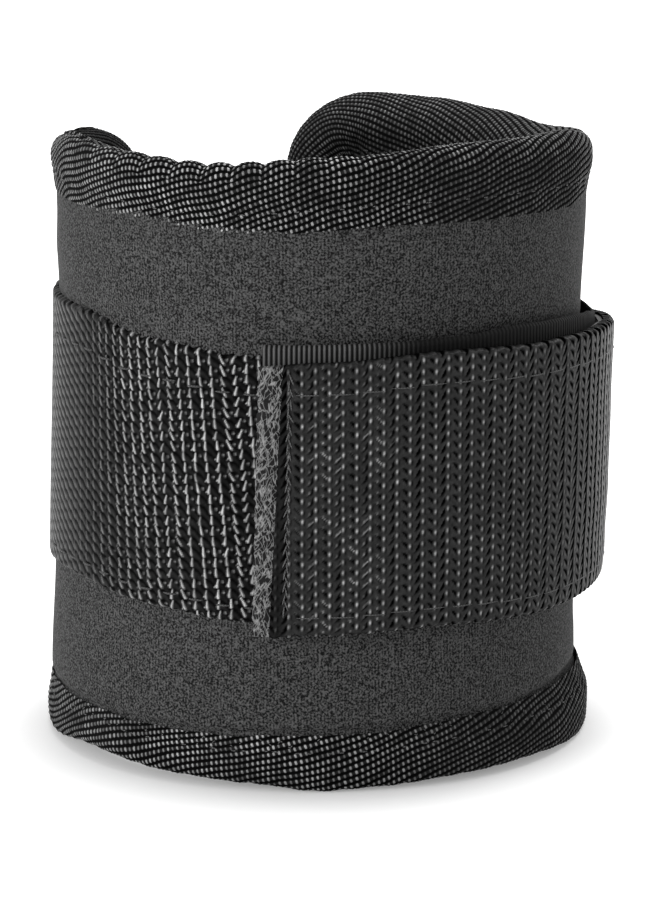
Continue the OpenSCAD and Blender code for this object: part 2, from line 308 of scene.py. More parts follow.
def tube(points):
    """Faces of a closed profile carried along a path: rows are stations, columns go round the profile."""
    rows, columns = points.shape[:2]
    index = np.arange(rows * columns).reshape(rows, columns)
    return grid_faces(index, True), [index[0].tolist(), index[-1][::-1].tolist()]


def slab(outer, inner, mask=None):
    """Points and faces of a pad between two grids, with walls along its edges and round every cell that
    the mask leaves out, and the numbers of the points that are left."""
    rows, columns = outer.shape[:2]
    index = np.arange(rows * columns).reshape(rows, columns)
    far = index + rows * columns
    keep = np.ones((rows - 1, columns - 1), bool) if mask is None else mask
    flat = keep.ravel()
    skins = [grid_faces(index)[flat], grid_faces(far)[flat][:, ::-1]]
    down = np.pad(keep, ((1, 1), (0, 0))).astype(int)
    side = np.pad(keep, ((0, 0), (1, 1))).astype(int)
    for step, at, to in ((np.diff(down, axis=0), index[:, :-1], index[:, 1:]),
                         (-np.diff(side, axis=1), index[:-1, :], index[1:, :])):
        for sign in (1, -1):
            p, q = at[step == sign], to[step == sign]
            wall = np.stack([p, q, q + rows * columns, p + rows * columns], 1)
            skins.append(wall if sign == 1 else wall[:, ::-1])
    points = np.concatenate([outer.reshape(-1, 3), inner.reshape(-1, 3)])
    quads = np.concatenate(skins)
    used = np.unique(quads)
    renumber = np.zeros(len(points), int)
    renumber[used] = np.arange(len(used))
    return points[used], (renumber[quads], []), used


# Finishes

class Nodes:
    """A node tree, with short words for the nodes that the finishes and the stage are made of."""

    def __init__(self, tree):
        self.tree = tree

    def add(self, kind, inputs=(), **settings):
        """One node, with its settings, and its inputs given by name or number as values or links."""
        made = self.tree.nodes.new("ShaderNode" + kind)
        for key, value in settings.items():
            setattr(made, key, value)
        for key, value in dict(inputs).items():
            if isinstance(value, bpy.types.NodeSocket):
                self.tree.links.new(value, made.inputs[key])
            else:
                made.inputs[key].default_value = value
        return made

    def calc(self, operation, *values):
        """A Math node's result."""
        return self.add("Math", enumerate(values), operation=operation).outputs[0]

    def times(self, first, *others):
        """A product, from left to right."""
        for other in others:
            first = self.calc("MULTIPLY", first, other)
        return first

    def line(self, value, slope, start):
        """A value times a slope, plus a start."""
        return self.calc("MULTIPLY_ADD", value, slope, start)

    def whole(self, value):
        """The nearest whole number."""
        return self.calc("FLOOR", self.calc("ADD", value, 0.5))

    def off(self, value, middle):
        """Distance from a middle, to either side."""
        return self.calc("ABSOLUTE", self.calc("SUBTRACT", value, middle))

    def wave(self, phase):
        """Half a unit plus half a cosine of a phase counted in whole turns."""
        return self.line(self.calc("COSINE", self.times(phase, 2 * math.pi)), 0.5, 0.5)

    def rows(self, place, pitch):
        """A wave with one crest in each pitch."""
        return self.wave(self.calc("DIVIDE", place, pitch))

    def span(self, value, low, high, to_low=0.0, to_high=1.0):
        """A value's range carried over to another range, held at its ends."""
        return self.add("MapRange", {0: value, 1: low, 2: high, 3: to_low, 4: to_high}).outputs[0]

    def mix(self, share, low, high):
        """A colour between two others."""
        return self.add("Mix", {0: share, 6: low, 7: high}, data_type="RGBA").outputs[2]

    def point(self, x, y):
        """A vector from two numbers."""
        return self.add("CombineXYZ", {0: x, 1: y}).outputs[0]

    def place(self):
        """A point of the piece, in its own frame."""
        return self.add("TexCoord").outputs["Object"]

    def cloth(self):
        """The two cloth coordinates of a piece, along and across."""
        parts = self.add("SeparateXYZ", {0: self.add("UVMap", uv_map="cloth").outputs[0]})
        return parts.outputs[0], parts.outputs[1]

    def field(self, name):
        """One of the mesh's own fields."""
        return self.add("Attribute", attribute_name=name).outputs["Fac"]

    def noise(self, place, scale, detail=2.0, roughness=0.55):
        """Cloudy noise."""
        inputs = {"Vector": place, "Scale": scale, "Detail": detail, "Roughness": roughness}
        return self.add("TexNoise", inputs).outputs[0]

    def seen_directly(self):
        """1 for rays from the camera, from a mirror or through glass, 0 for light."""
        path = self.add("LightPath").outputs
        first = self.calc("MAXIMUM", path["Is Camera Ray"], path["Is Glossy Ray"])
        return self.calc("MAXIMUM", first, path["Is Transmission Ray"])


class Finish(Nodes):
    """The nodes of a new material, with its shader ready for a pattern."""

    def __init__(self, name, roughness, sheen=0.0, specular=0.5):
        self.material = bpy.data.materials.new(name)
        self.material.use_nodes = True
        super().__init__(self.material.node_tree)
        self.shader = self.tree.nodes["Principled BSDF"]
        for key, value in (("Roughness", roughness), ("Specular IOR Level", specular),
                           ("Sheen Weight", sheen), ("Sheen Roughness", 0.4)):
            self.shader.inputs[key].default_value = value

    def link(self, output, name):
        """An output led to one of the shader's inputs."""
        self.tree.links.new(output, self.shader.inputs[name])

    def paint(self, share, low, high):
        """Base colour between two others."""
        self.link(self.mix(share, low, high), "Base Color")

    def emboss(self, height, strength, distance):
        """Relief too fine for the mesh."""
        inputs = {"Height": height, "Strength": strength, "Distance": distance}
        self.link(self.add("Bump", inputs).outputs[0], "Normal")


def grey(value, share=1.0):
    """A colour property times a share, as a socket's colour."""
    return tuple(c * share for c in value) + (1.0,)


WALE, SELVAGE_RIB, THREAD_TWIST = 0.62 * MM, 0.92 * MM, 0.55 * MM
LOOP_MIDDLE = 25 * MM
HOOK_ROW, HOOK_STEP = 1.3 * MM, 0.9 * MM
CROWN_STEP = 0.31
# Slant, squeeze and scale of the two layers of loose fibres
FIBRES = ((0.25, 0.3, 1100.0), (-0.6, 0.45, 900.0))


def neoprene_finish(name):
    """Jersey: fine speckle over faint upright wales, on the neoprene's own colour."""
    f, tint = Finish(name, 0.8, 0.03, 0.1), colours().neoprene
    place = f.place()
    fine, coarse = f.noise(place, 2700.0, 1.0, 0.6), f.noise(place, 900.0)
    wale = f.rows(f.cloth()[0], WALE)
    weave = f.line(wale, 0.07, f.line(coarse, 0.1, fine))
    f.paint(f.span(weave, 0.47, 0.76), grey(tint, 0.12), grey(tint, 2.9))
    f.emboss(weave, 0.3, 0.12 * MM)
    return f.material


def tape_finish(name):
    """Twill tape: yarn crowns in slanting ribs, with painted highlights on top and painted shade, nearly black,
    in between.
    """
    f, w, tint = Finish(name, 0.35), weaves(), colours().tape
    along, across = f.cloth()
    place = f.place()
    rib = f.calc("DIVIDE", f.line(along, math.tan(w.rib_slope), across), w.rib)
    run = f.calc("SUBTRACT", f.times(along, math.cos(w.rib_slope)), f.times(across, math.sin(w.rib_slope)))
    number = f.whole(rib)
    dot = f.line(number, CROWN_STEP, f.calc("DIVIDE", run, w.dot))
    ridge, crown = f.wave(rib), f.wave(dot)
    weave = f.times(ridge, f.line(crown, 0.75, 0.25))
    fleck = f.noise(place, 900.0)
    patch = f.span(f.noise(place, 110.0), 0.36, 0.6, 0.4, 1.0)
    # Fields of painted light on the ground and painted highlight on the crowns, by the angle from the front
    painted_ground_light, painted_highlight = f.field("painted_ground_light"), f.field("painted_highlight")
    # Painted shade: valleys between the ribs nearly black, slopes lighter
    valley_painted_shade = f.mix(painted_ground_light, grey(tint, 0.006), grey(tint, 0.03))
    slope = f.mix(painted_ground_light, grey(tint, 0.035), grey(tint, 0.15))
    ground = f.mix(f.span(ridge, 0.3, 0.9), valley_painted_shade, slope)
    cell = f.point(number, f.whole(dot))
    luck = f.add("TexWhiteNoise", {"Vector": cell}, noise_dimensions="2D").outputs["Value"]
    # Painted highlight on the yarn crowns
    bright = f.times(f.span(ridge, 0.12, 0.8), f.span(crown, 0.4, 0.95),
                     f.line(fleck, 0.9, 0.5), f.line(luck, 1.0, 0.45))
    share = f.times(f.span(bright, 0.15, 0.95), patch, painted_highlight)
    f.paint(share, ground, grey(tint))
    f.link(f.times(share, 0.6), "Specular IOR Level")
    f.emboss(weave, 0.5, 0.25 * MM)
    return f.material


def webbing_finish(name, painted_glint):
    """Webbing: dull yarns, nearly black in the gaps with painted shade, and painted highlights on their yarn
    ends.
    """
    f, tint = Finish(name, 0.35), colours().webbing
    place = f.place()
    fleck, patch = f.noise(place, 1500.0), f.noise(place, 90.0)
    # The level field carries painted shade between the yarns and painted light by the angle
    level = f.times(f.field("level"), f.line(fleck, 1.0, 0.3))
    body = f.mix(level, grey(tint, 0.04), grey(tint, 2.6))
    # Painted highlights on the yarn ends
    painted_highlight = f.times(f.field("painted_glint"), f.span(patch, 0.35, 0.65, 0.7 * painted_glint, painted_glint), f.line(fleck, 1.0, 0.5))
    f.paint(painted_highlight, body, grey(colours().painted_glint))
    f.link(f.times(level, 0.2), "Specular IOR Level")
    f.emboss(fleck, 0.25, 0.08 * MM)
    return f.material


def fuzz_finish(name, tint, scale, low, high, roughness, sheen):
    """Felted or brushed face: soft mottling at one grain size."""
    f = Finish(name, roughness, sheen, 0.1)
    grain = f.noise(f.place(), scale, 4.0, 0.7)
    f.paint(f.span(grain, 0.38, 0.62), grey(tint, low), grey(tint, high))
    f.emboss(grain, 0.5, 0.3 * MM)
    return f.material


def fray_finish(name):
    """Frayed yarn: a tangle of pale upright fibres over dark holes of painted shade."""
    f, tint = Finish(name, 0.6, 0.03, 0.1), colours().felt
    along, up = f.cloth()
    layers = []
    for slant, squeeze, scale in FIBRES:
        fibre = f.noise(f.point(f.line(up, slant, along), f.times(up, squeeze)), scale, 1.0)
        layers.append(f.span(f.off(fibre, 0.5), 0.0, 0.055, 1.0, 0.0))
    tangle = f.calc("MAXIMUM", *layers)
    f.paint(tangle, grey(tint, 0.1), grey(tint, 3.8))
    f.emboss(tangle, 0.7, 0.4 * MM)
    return f.material


def loop_finish(name):
    """Loop band: brushed pile in the middle and upright ribs along both selvages, the ribs painted light near
    the strap's tip and darker further along, in painted shadow of the strap.
    """
    f, tint = Finish(name, 0.75, 0.03, 0.1), colours().loop
    along, across = f.cloth()
    pile = f.noise(f.place(), 1300.0, 4.0, 0.7)
    rib = f.rows(along, SELVAGE_RIB)
    edge = f.calc("GREATER_THAN", f.off(across, LOOP_MIDDLE), 20.5 * MM)
    face = f.add("Mix", {0: edge, 2: pile, 3: rib}).outputs[0]
    # Painted light and painted shadow: selvage ribs light near the strap's tip, dark further along under the
    # strap's shadow
    ribs = f.mix(f.span(along, 5 * MM, 19 * MM), grey(tint, 6.0), grey(tint, 0.5))
    f.paint(f.span(face, 0.3, 0.9), grey(tint, 0.1), f.mix(edge, grey(tint, 1.4), ribs))
    f.emboss(face, 0.6, 0.3 * MM)
    return f.material


def hook_finish(name):
    """Hook band: close rows of small hooks on a woven ground."""
    f, tint = Finish(name, 0.45, 0.0, 0.2), colours().hook
    along, across = f.cloth()
    face = f.times(f.rows(along, HOOK_ROW), f.rows(across, HOOK_STEP))
    f.paint(face, grey(tint, 0.3), grey(tint, 2.0))
    f.emboss(face, 0.8, 0.4 * MM)
    return f.material


def thread_finish(name, share):
    """Twisted sewing thread."""
    f, tint = Finish(name, 0.5, 0.0, 0.15), colours().thread
    along, across = f.cloth()
    twist = f.wave(f.calc("ADD", f.calc("DIVIDE", along, THREAD_TWIST), across))
    f.paint(twist, grey(tint, 0.5 * share), grey(tint, 1.5 * share))
    f.emboss(twist, 0.4, 0.1 * MM)
    return f.material


def finish(name, make, *values):
    """A material made once and shared by its pieces."""
    return bpy.data.materials.get(name) or make(name, *values)


# Pieces

FOLD = math.radians(50)
FOLD_EASE = math.radians(16)
WALL_RADIUS = 48 * MM
NEOPRENE_INSET, LINING_INSET, FOAM_INSET = 4.2 * MM, 7 * MM, 5 * MM


def wing_end(side):
    """Angle from the front to the end of a wing."""
    return sizes().right_end if side == RIGHT else sizes().left_end


def bend_at_fold(piece, side):
    """Bakes the transform of a piece that runs from the front into a wing into its mesh; the two ends of the
    fold line are worked out but not used.
    """
    radius = sizes().waist
    start, end = (polar(side * a, radius, MID_HEIGHT) for a in (FOLD - FOLD_EASE, FOLD + FOLD_EASE))
    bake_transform(piece)


def panel_grid(side, inset, across, up):
    """Angles and heights over half the cuff's wall, from the front to a rounded end, inset from its
    edges."""
    s = sizes()
    v = np.linspace(0, 1, up)[None, :]
    u = np.linspace(0, 1, across)[:, None]
    nominal = inset + (s.height - 2 * inset) * v
    round_off = s.corner - inset
    near = np.minimum(nominal - inset, s.height - inset - nominal)
    cut = round_off - np.sqrt(np.maximum(round_off ** 2 - np.maximum(round_off - near, 0) ** 2, 0))
    length = wing_end(side) * WALL_RADIUS - inset - cut
    angle = side * u * length / WALL_RADIUS
    height = nominal + edge_offset(angle, TOP_EDGE) * ramp(nominal, 60 * MM, s.height)
    return angle, height


class CUFF_OT_neoprene(bpy.types.Operator):
    """Outer neoprene, as two halves that meet at the front"""
    bl_idname = "cuff.neoprene"
    bl_label = "Neoprene"

    def execute(self, context):
        s = sizes()
        for side, columns in ((RIGHT, 170), (LEFT, 120)):
            angle, height = panel_grid(side, NEOPRENE_INSET, columns, 210)
            outer = polar(angle, face_radius(angle, height), height)
            inner = polar(angle, s.waist - 2 * MM, height)
            points, faces, used = slab(outer, inner)
            cloth = np.stack([angle * s.waist, height], -1)
            cloth = np.concatenate([cloth.reshape(-1, 2)] * 2)[used]
            piece = new_object("neoprene_" + SIDE[side], points, faces,
                               finish("neoprene jersey", neoprene_finish), cloth)
            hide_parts("shell_" + SIDE[side], "shell_front")
            bend_at_fold(piece, side)
        return {"FINISHED"}


# Body, first and last angle of its pack pockets, and their number
PACK_PLACES = (("left_wing", -116, -50, 2), ("front_panel", -50, 50, 3), ("right_wing", 50, 174, 4))
FOAM_OUTER, FOAM_INNER, PACK_MIDDLE = 47.8 * MM, 45.0 * MM, 46.4 * MM


def pack_spans():
    """Body, start and end angle of each pack pocket, from the left end to the right one."""
    spans = []
    for body, low, high, count in PACK_PLACES:
        edges = np.radians(np.linspace(low, high, count + 1))
        spans += [(body, a, b) for a, b in zip(edges[:-1], edges[1:])]
    return spans


class CUFF_OT_lining(bpy.types.Operator):
    """Brushed lining, drawn in along the sewn lines between the weight packs"""
    bl_idname = "cuff.lining"
    bl_label = "Lining"

    def execute(self, context):
        s = sizes()
        spans = pack_spans()
        seams = np.array([a for body, a, b in spans] + [spans[-1][2]])
        for side, columns in ((RIGHT, 260), (LEFT, 180)):
            angle, height = panel_grid(side, LINING_INSET, columns, 90)
            nearest = np.abs(angle[..., None] - seams).min(-1) * s.bore
            top = s.height - s.top_hem
            open_part = ramp(height, s.bottom_hem - 3 * MM, s.bottom_hem + 6 * MM)
            open_part = open_part * (1 - ramp(height, top - 6 * MM, top + 3 * MM))
            seam = spot(nearest, 0, 1.6 * MM) * open_part
            radius = s.bore + 0.95 * MM - 0.75 * MM * open_part + 1.1 * MM * seam
            rough = wobble(angle * 9, height / (6 * MM), SEED["lining"]) * 0.12 * MM
            radius = radius + rough + 0.4 * lean(angle, height)
            inner = polar(angle, radius, height)
            outer = polar(angle, s.bore + 2.5 * MM, height)
            points, faces = slab(outer, inner)[:2]
            cloth = finish("brushed lining", fuzz_finish, colours().lining, 1100.0, 0.5, 1.5, 0.85, 0.08)
            piece = new_object("lining_cloth_" + SIDE[side], points, faces, cloth)
            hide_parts("lining_" + SIDE[side], "lining_front")
            bend_at_fold(piece, side)
        return {"FINISHED"}


class CUFF_OT_foam(bpy.types.Operator):
    """Foam pad inside the wall, with a window for each weight pack"""
    bl_idname = "cuff.foam"
    bl_label = "Foam pad"

    def execute(self, context):
        for side, columns in ((RIGHT, 150), (LEFT, 110)):
            angle, height = panel_grid(side, FOAM_INSET, columns, 45)
            middle_angle = (angle[:-1, :-1] + angle[1:, 1:]) / 2
            middle_height = (height[:-1, :-1] + height[1:, 1:]) / 2
            keep = np.ones(middle_angle.shape, bool)
            for body, a, b in pack_spans():
                inside = (middle_angle > a + 0.03) & (middle_angle < b - 0.03)
                keep &= ~(inside & (np.abs(middle_height - MID_HEIGHT) < 43 * MM))
            swell = lean(angle, height)
            outer, inner = (polar(angle, radius + swell, height) for radius in (FOAM_OUTER, FOAM_INNER))
            points, faces = slab(outer, inner, keep)[:2]
            foam = finish("grey foam", fuzz_finish, colours().foam, 900.0, 0.7, 1.3, 0.9, 0.0)
            piece = new_object("foam_pad_" + SIDE[side], points, faces, foam)
            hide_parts("core_" + SIDE[side], "core_front")
            bend_at_fold(piece, side)
        return {"FINISHED"}


class CUFF_OT_packs(bpy.types.Operator):
    """Nine sewn pouches that hold the weights: flat cushions, fullest in the middle"""
    bl_idname = "cuff.packs"
    bl_label = "Weight packs"

    def execute(self, context):
        u, v = np.linspace(-1, 1, 22)[:, None], np.linspace(-1, 1, 60)[None, :]
        full = ((1 - np.abs(u) ** 4) * (1 - np.abs(v) ** 8)) ** 0.5
        half = 0.15 * MM + 1.1 * MM * full
        height = np.linspace(17 * MM, 99 * MM, 60)[None, :]
        for number, (body, a, b) in enumerate(pack_spans(), 1):
            angle = np.linspace(a + 0.05, b - 0.05, 22)[:, None]
            middle = PACK_MIDDLE + lean(angle, height)
            outer, inner = (polar(angle, middle + way * half, height) for way in (1, -1))
            points, faces = slab(outer, inner)[:2]
            cloth = finish("pack cloth", fuzz_finish, colours().pack, 700.0, 0.6, 1.4, 0.7, 0.1)
            piece = new_object(f"shot_pack_{number}", points, faces, cloth)
            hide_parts(f"weight_pack_{number}")
            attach(piece, body)
        return {"FINISHED"}


# Distance round the cuff in millimetres, and the number of scallops up to there
SCALLOPS = ((-98.5, -12), (-33.5, -2), (-26.9, -1), (-20.7, 0), (-9.7, 2), (100.3, 22))
CREST_INSET = {UPPER: 2.0 * MM, LOWER: 1.3 * MM}
OUTER_ROUND = {UPPER: 2.8 * MM, LOWER: 1.9 * MM}
HEM_LIP = {UPPER: 0.85 * MM, LOWER: 0.7 * MM}
LIP_REACH = 7 * MM
# How far the sewn line lies from the hem, its width, and how far it and the sides' fullness stand in or out
SEWN_LINE, SEWN_WIDTH, DENT, FULLNESS = 3.8 * MM, 1.3 * MM, 0.3 * MM, 0.25 * MM
RAGGED, CREASE, CREASES = 0.22 * MM, 0.22 * MM, 22
# Middle and width of the stretch with deep scallops, in degrees, and the share that the lower edge has of them
SCALLOP_MIDDLE, SCALLOP_SPREAD, LOWER_SCALLOPS = -26, 27, 0.3
INNER_ROUND = 8.0 * MM
FOLD_SHARE = 0.46
TAPE_THICKNESS = 0.8 * MM
TAPE_STEP = 0.36 * MM
TAPE_ACROSS = np.concatenate([
    np.linspace(-1, -FOLD_SHARE, 37)[:-1], np.linspace(-FOLD_SHARE, 0, 17)[:-1],
    np.linspace(0, FOLD_SHARE, 42)[:-1], np.linspace(FOLD_SHARE, 1, 19)])


def hem_path(side, t):
    """Edge of one half of the cuff: along the top or the bottom from the front, round the corner and
    along the end to mid-height. Gives the edge's place and depth on the wall laid flat, and the sine and
    cosine of the way inwards."""
    s = sizes()
    length = wing_end(side) * WALL_RADIUS
    straight = length - s.corner
    turn = np.clip((t - straight) / s.corner, 0, np.pi / 2)
    past = np.maximum(t - straight - s.corner * np.pi / 2, 0)
    place = np.minimum(t, straight) + s.corner * np.sin(turn)
    below = s.corner * (1 - np.cos(turn)) + past
    return place, below, np.sin(turn), np.cos(turn)


def hem_length(side):
    """Length of one half of the edge, up to mid-height."""
    s = sizes()
    return wing_end(side) * WALL_RADIUS - s.corner + s.corner * np.pi / 2 + s.height / 2 - s.corner


def hem_surface(side, level, t, q):
    """Binding tape: q runs over its width from -1, the outer hem, over the fold at 0, to 1, the inner
    hem. The fold is half a rounded rectangle as thick as the wall; both sides lie flat on the wall below
    it. Gives the points, the tape's distance from its fold line and its distance along the edge."""
    s, w = sizes(), weaves()
    place, below, sine, cosine = hem_path(side, t)
    angle = side * place / WALL_RADIUS
    stations = TOP_HEM if level == UPPER else BOTTOM_HEM
    rise = edge_offset(angle, TOP_EDGE if level == UPPER else BOTTOM_EDGE) * cosine ** 2
    nominal = s.top_hem if level == UPPER else s.bottom_hem
    slack = level * (rise - edge_offset(angle, stations))
    width = nominal * cosine ** 2 + s.end_hem * sine ** 2 + slack * cosine ** 2
    ragged = wobble(t / (2.2 * MM), 0 * t, SEED["hem"] + level + side) * RAGGED
    inner_width = s.end_hem * sine ** 2 + (nominal + 0.5 * MM) * cosine ** 2
    wide = np.where(q < 0, width + ragged, inner_width + ragged)
    away = np.abs(q)
    fold = np.clip(away / FOLD_SHARE, 0, 1)
    crest = CREST_INSET[level]
    rounding = np.where(q < 0, OUTER_ROUND[level], INNER_ROUND)
    reach_in = np.where(q < 0, crest, s.bore + crest - s.tape)
    flat = np.clip((away - FOLD_SHARE) / (1 - FOLD_SHARE), 0, 1)
    depth = rounding * (1 - np.cos(fold * np.pi / 2)) + (wide - rounding) * flat
    radius = s.tape - crest + reach_in * np.sin(fold * np.pi / 2)
    along = side * level * t
    dent = spot(depth - wide, -SEWN_LINE, SEWN_WIDTH)
    pull = 0.6 + 0.4 * np.cos(2 * np.pi * along / w.stitch_pitch)
    out = -np.sign(q) * fold
    full = np.sin(np.clip(depth / wide, 0, 1) * np.pi) * FULLNESS
    lip = ramp(depth, wide - LIP_REACH, wide) * HEM_LIP[level]
    radius = radius + out * (full - DENT * dent * pull - lip)
    crease = np.sin(np.arctan2(sine, cosine) * CREASES) * sine * cosine * 4
    radius = radius + out * crease * CREASE * ramp(depth, 2 * MM, 10 * MM)
    front = spot(np.degrees(angle), SCALLOP_MIDDLE, SCALLOP_SPREAD) if level == UPPER else LOWER_SCALLOPS
    count = np.interp(along / MM, *zip(*SCALLOPS))
    notch = (1 - np.abs(np.sin(np.pi * count)) ** 0.7) * w.scallop_depth * (0.1 + 0.9 * front)
    notch = notch * (1 - ramp(depth, 0.5 * MM, 5 * MM)) * cosine ** 2
    notch = notch if level == UPPER else LOWER_SCALLOPS * notch
    depth = depth + notch
    place = place - sine * depth
    down = below + cosine * depth
    height = s.height + rise - down if level == UPPER else rise + down
    angle = side * place / WALL_RADIUS
    sway = wobble(angle * 6, height / (14 * MM), SEED["sway"]) * 0.25 * MM
    radius = radius + sway + lean(angle, height) * np.where(q < 0, 1, 0.5)
    quarter = np.pi / 2 * np.sqrt((rounding ** 2 + reach_in ** 2) / 2)
    reach = fold * quarter + np.maximum(depth - rounding, 0) * (away > FOLD_SHARE)
    return polar(angle, radius, height), reach, along


def outward(points):
    """Unit normals of a grid of points, from its two directions."""
    along = np.gradient(points, axis=0)
    across = np.gradient(points, axis=1)
    normal = np.cross(along, across)
    return normal / np.maximum(np.linalg.norm(normal, axis=-1, keepdims=True), 1e-12)


def rib_relief(along, reach):
    """Twill ribs: slanting ridges, each a row of yarn crowns that step back a little from rib to rib."""
    w = weaves()
    rib = (reach + along * math.tan(w.rib_slope)) / w.rib
    run = along * math.cos(w.rib_slope) - reach * math.sin(w.rib_slope)
    dot = run / w.dot + CROWN_STEP * np.floor(rib + 0.5)
    ridge = 0.5 + 0.5 * np.cos(2 * np.pi * rib)
    return ridge * (0.6 + 0.4 * np.cos(2 * np.pi * dot))


# Painted highlight on the binding's yarn crowns, upper and lower, and painted light on its ground, by the angle
# from the front
UPPER_PAINTED_HIGHLIGHT = ((-130, 0.3), (-80, 0.35), (-58, 0.7), (-42, 1), (2, 1), (20, 0.75), (38, 0.5), (90, 0.45),
               (188, 0.6))
LOWER_PAINTED_HIGHLIGHT = ((-130, 0.3), (-76, 0.3), (-58, 0.75), (-38, 1), (2, 1), (16, 0.7), (40, 0.25), (90, 0.12),
               (188, 0.5))
TAPE_PAINTED_GROUND_LIGHT = ((-130, 1), (-78, 1), (-56, 0.55), (-38, 0.12), (10, 0.08), (36, 0.35), (60, 0.5), (188, 0.45))


def tape_painted_light(points, q, reach, level):
    """How strong the painted highlight on the binding's yarn crowns is, and how much painted light greys its
    ground: both by the angle from the front, with the crowns in painted shade low on the right and on the inner
    side, and the inner side on the left darkest in painted shade."""
    degrees = np.degrees(np.arctan2(points[..., 0], -points[..., 1]))
    degrees = np.where(degrees < -131, degrees + 360, degrees)
    painted_highlight = eased(degrees, UPPER_PAINTED_HIGHLIGHT if level == UPPER else LOWER_PAINTED_HIGHLIGHT)
    if level == UPPER:
        painted_highlight = painted_highlight * (1 - 0.6 * ramp(reach, 3 * MM, 6 * MM) * ramp(degrees, 5, 35) * (q < 0))
    # Painted shade on the tape's inner side, darkest on the left
    painted_shade_inner_left = 0.75 * ramp(q, -0.08, 0.04) * (1 - ramp(degrees, -95, -35))
    inner = np.where(q > 0, 0.65, 1)
    return painted_highlight * inner * (1 - painted_shade_inner_left), eased(degrees, TAPE_PAINTED_GROUND_LIGHT) * (1 - painted_shade_inner_left)


def band_loop(face, back, step):
    """A band's closed profile: its face, then its back the other way, with every step-th column of it."""
    return np.concatenate([face, back[:, ::-step]], 1)


class CUFF_OT_binding(bpy.types.Operator):
    """Binding tape, folded over the edges: four lengths that meet at the front and under the strap"""
    bl_idname = "cuff.binding"
    bl_label = "Binding"

    def execute(self, context):
        for side in (RIGHT, LEFT):
            for level in (UPPER, LOWER):
                t = np.linspace(0, hem_length(side), int(hem_length(side) / TAPE_STEP))[:, None]
                t, q = np.broadcast_arrays(t, TAPE_ACROSS[None, :])
                points, reach, along = hem_surface(side, level, t, q)
                normal = outward(points) * (side * level)
                sway = wobble(along / (2 * MM), reach / (2 * MM), SEED["rib run"] + level)
                run = along + sway * 0.3 * MM
                sway = wobble(along / (2.6 * MM), reach / (2.6 * MM), SEED["rib reach"] + level)
                reach = reach + sway * 0.45 * MM
                relief = rib_relief(run, reach) * weaves().rib_relief
                fade = np.minimum(1, np.minimum(q + 1, 1 - q) / 0.04)
                loop = band_loop(points + normal * (relief * fade)[..., None],
                                 points - normal * TAPE_THICKNESS, 4)
                cloth = np.stack([run, reach], -1)
                # Painted highlight and painted light of the binding, kept as fields
                painted_lights = zip(("painted_highlight", "painted_ground_light"), tape_painted_light(points, q, reach, level))
                piece = new_object(f"binding_{LEVEL[level]}_{SIDE[side]}", loop, tube(loop),
                                   finish("binding twill", tape_finish), band_loop(cloth, cloth, 4),
                                   {key: band_loop(value, value, 4) for key, value in painted_lights})
                front = "binding_top_front" if level == UPPER else "binding_bottom_front"
                nodes = ["binding_" + SIDE[side], front]
                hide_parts(*nodes)
                bend_at_fold(piece, side)
        return {"FINISHED"}


YARN_STEPS = np.array([0, 0.06, 0.12, 0.18, 0.27, 0.38, 0.5, 0.62, 0.75, 0.88])


def column_steps(first, last):
    """Distances along the webbing that meet every column of its weave, closest where its yarns rise."""
    width = weaves().column
    columns = np.arange(round(first / width), round(last / width))
    return np.append(((columns[:, None] + YARN_STEPS) * width).ravel(), (columns[-1] + 1) * width)


def chance(column, row):
    """A number from 0 to 1 of a yarn's own, from its column and its row."""
    number = np.sin(column * 12.9898 + row * 78.233) * 43758.5453
    return number - np.floor(number)


def band_edge(across, width, rounding):
    """How far a band's face drops towards its two selvages, as a quarter circle."""
    near = np.clip(np.minimum(across, width - across) / rounding, 0, 1)
    return rounding * (1 - np.sqrt(1 - (1 - near) ** 2))


def teeth(along, share):
    """How far the columns of the weave stand out of a webbing's two edges."""
    return 0.18 * MM * np.cos(2 * np.pi * along / weaves().column) * (2 * share - 1) ** 9


# Columns of a face for each one of its back, and points in each row of the weave
BACK_STEP, WEAVE_STEPS = 8, 7
# Relief that lies level with the webbing, and the rounding of its selvages
FLAT, EDGE_ROUND = 0.8, 0.9 * MM


def woven(name, face, back, level, painted_glint, cloth):
    """One length of webbing, from its face, its back and its weave, which the back doesn't show."""
    loop = band_loop(face, back, BACK_STEP)
    # The level field holds painted shade and light, the other field painted highlights; the back has neither
    fields = {"level": band_loop(level, 0 * level, BACK_STEP), "painted_glint": band_loop(painted_glint, 0 * painted_glint, BACK_STEP)}
    return new_object(name, loop, tube(loop), cloth, None, fields)


# Painted light on the left webbing's yarns, strength of its painted highlights, and lean of its strokes and
# lines, by the angle from the front
WEBBING_PAINTED_LIGHT = ((-118, 0.55), (-64, 0.5), (-54, 0.4), (-44, 0.3), (-36, 0.26), (-15, 0.18), (0, 0.18))
WEBBING_PAINTED_GLINT = ((-118, 0.02), (-70, 0.03), (-58, 0.14), (-50, 0.4), (-42, 0.85), (-15, 1.05), (0, 1))
STROKE_LEAN = ((-118, -0.5), (-50, -0.4), (-37, -0.3), (-33.8, 0.2), (-31.2, -0.35), (-28.5, 0.12),
               (-25.9, 0), (-20.7, 0.1), (-18.1, -0.3), (-15.4, 0.3), (-12, 0), (0, 0))
LINE_LEAN = ((-118, 0), (-62, 0), (-40, 0.06), (-26, 0.09), (-12, 0.09), (0, 0))
# Rows that a yarn falls in each column
YARN_FALL = 0.75
# Places of a column's start, its painted highlight stroke and its stray painted highlight dot, and the stroke's
# width, as shares of a column
COLUMN_START, STROKE_PLACE, STRAY_PLACE, STROKE_WIDTH = 0.2, 0.27, 0.78, 0.05


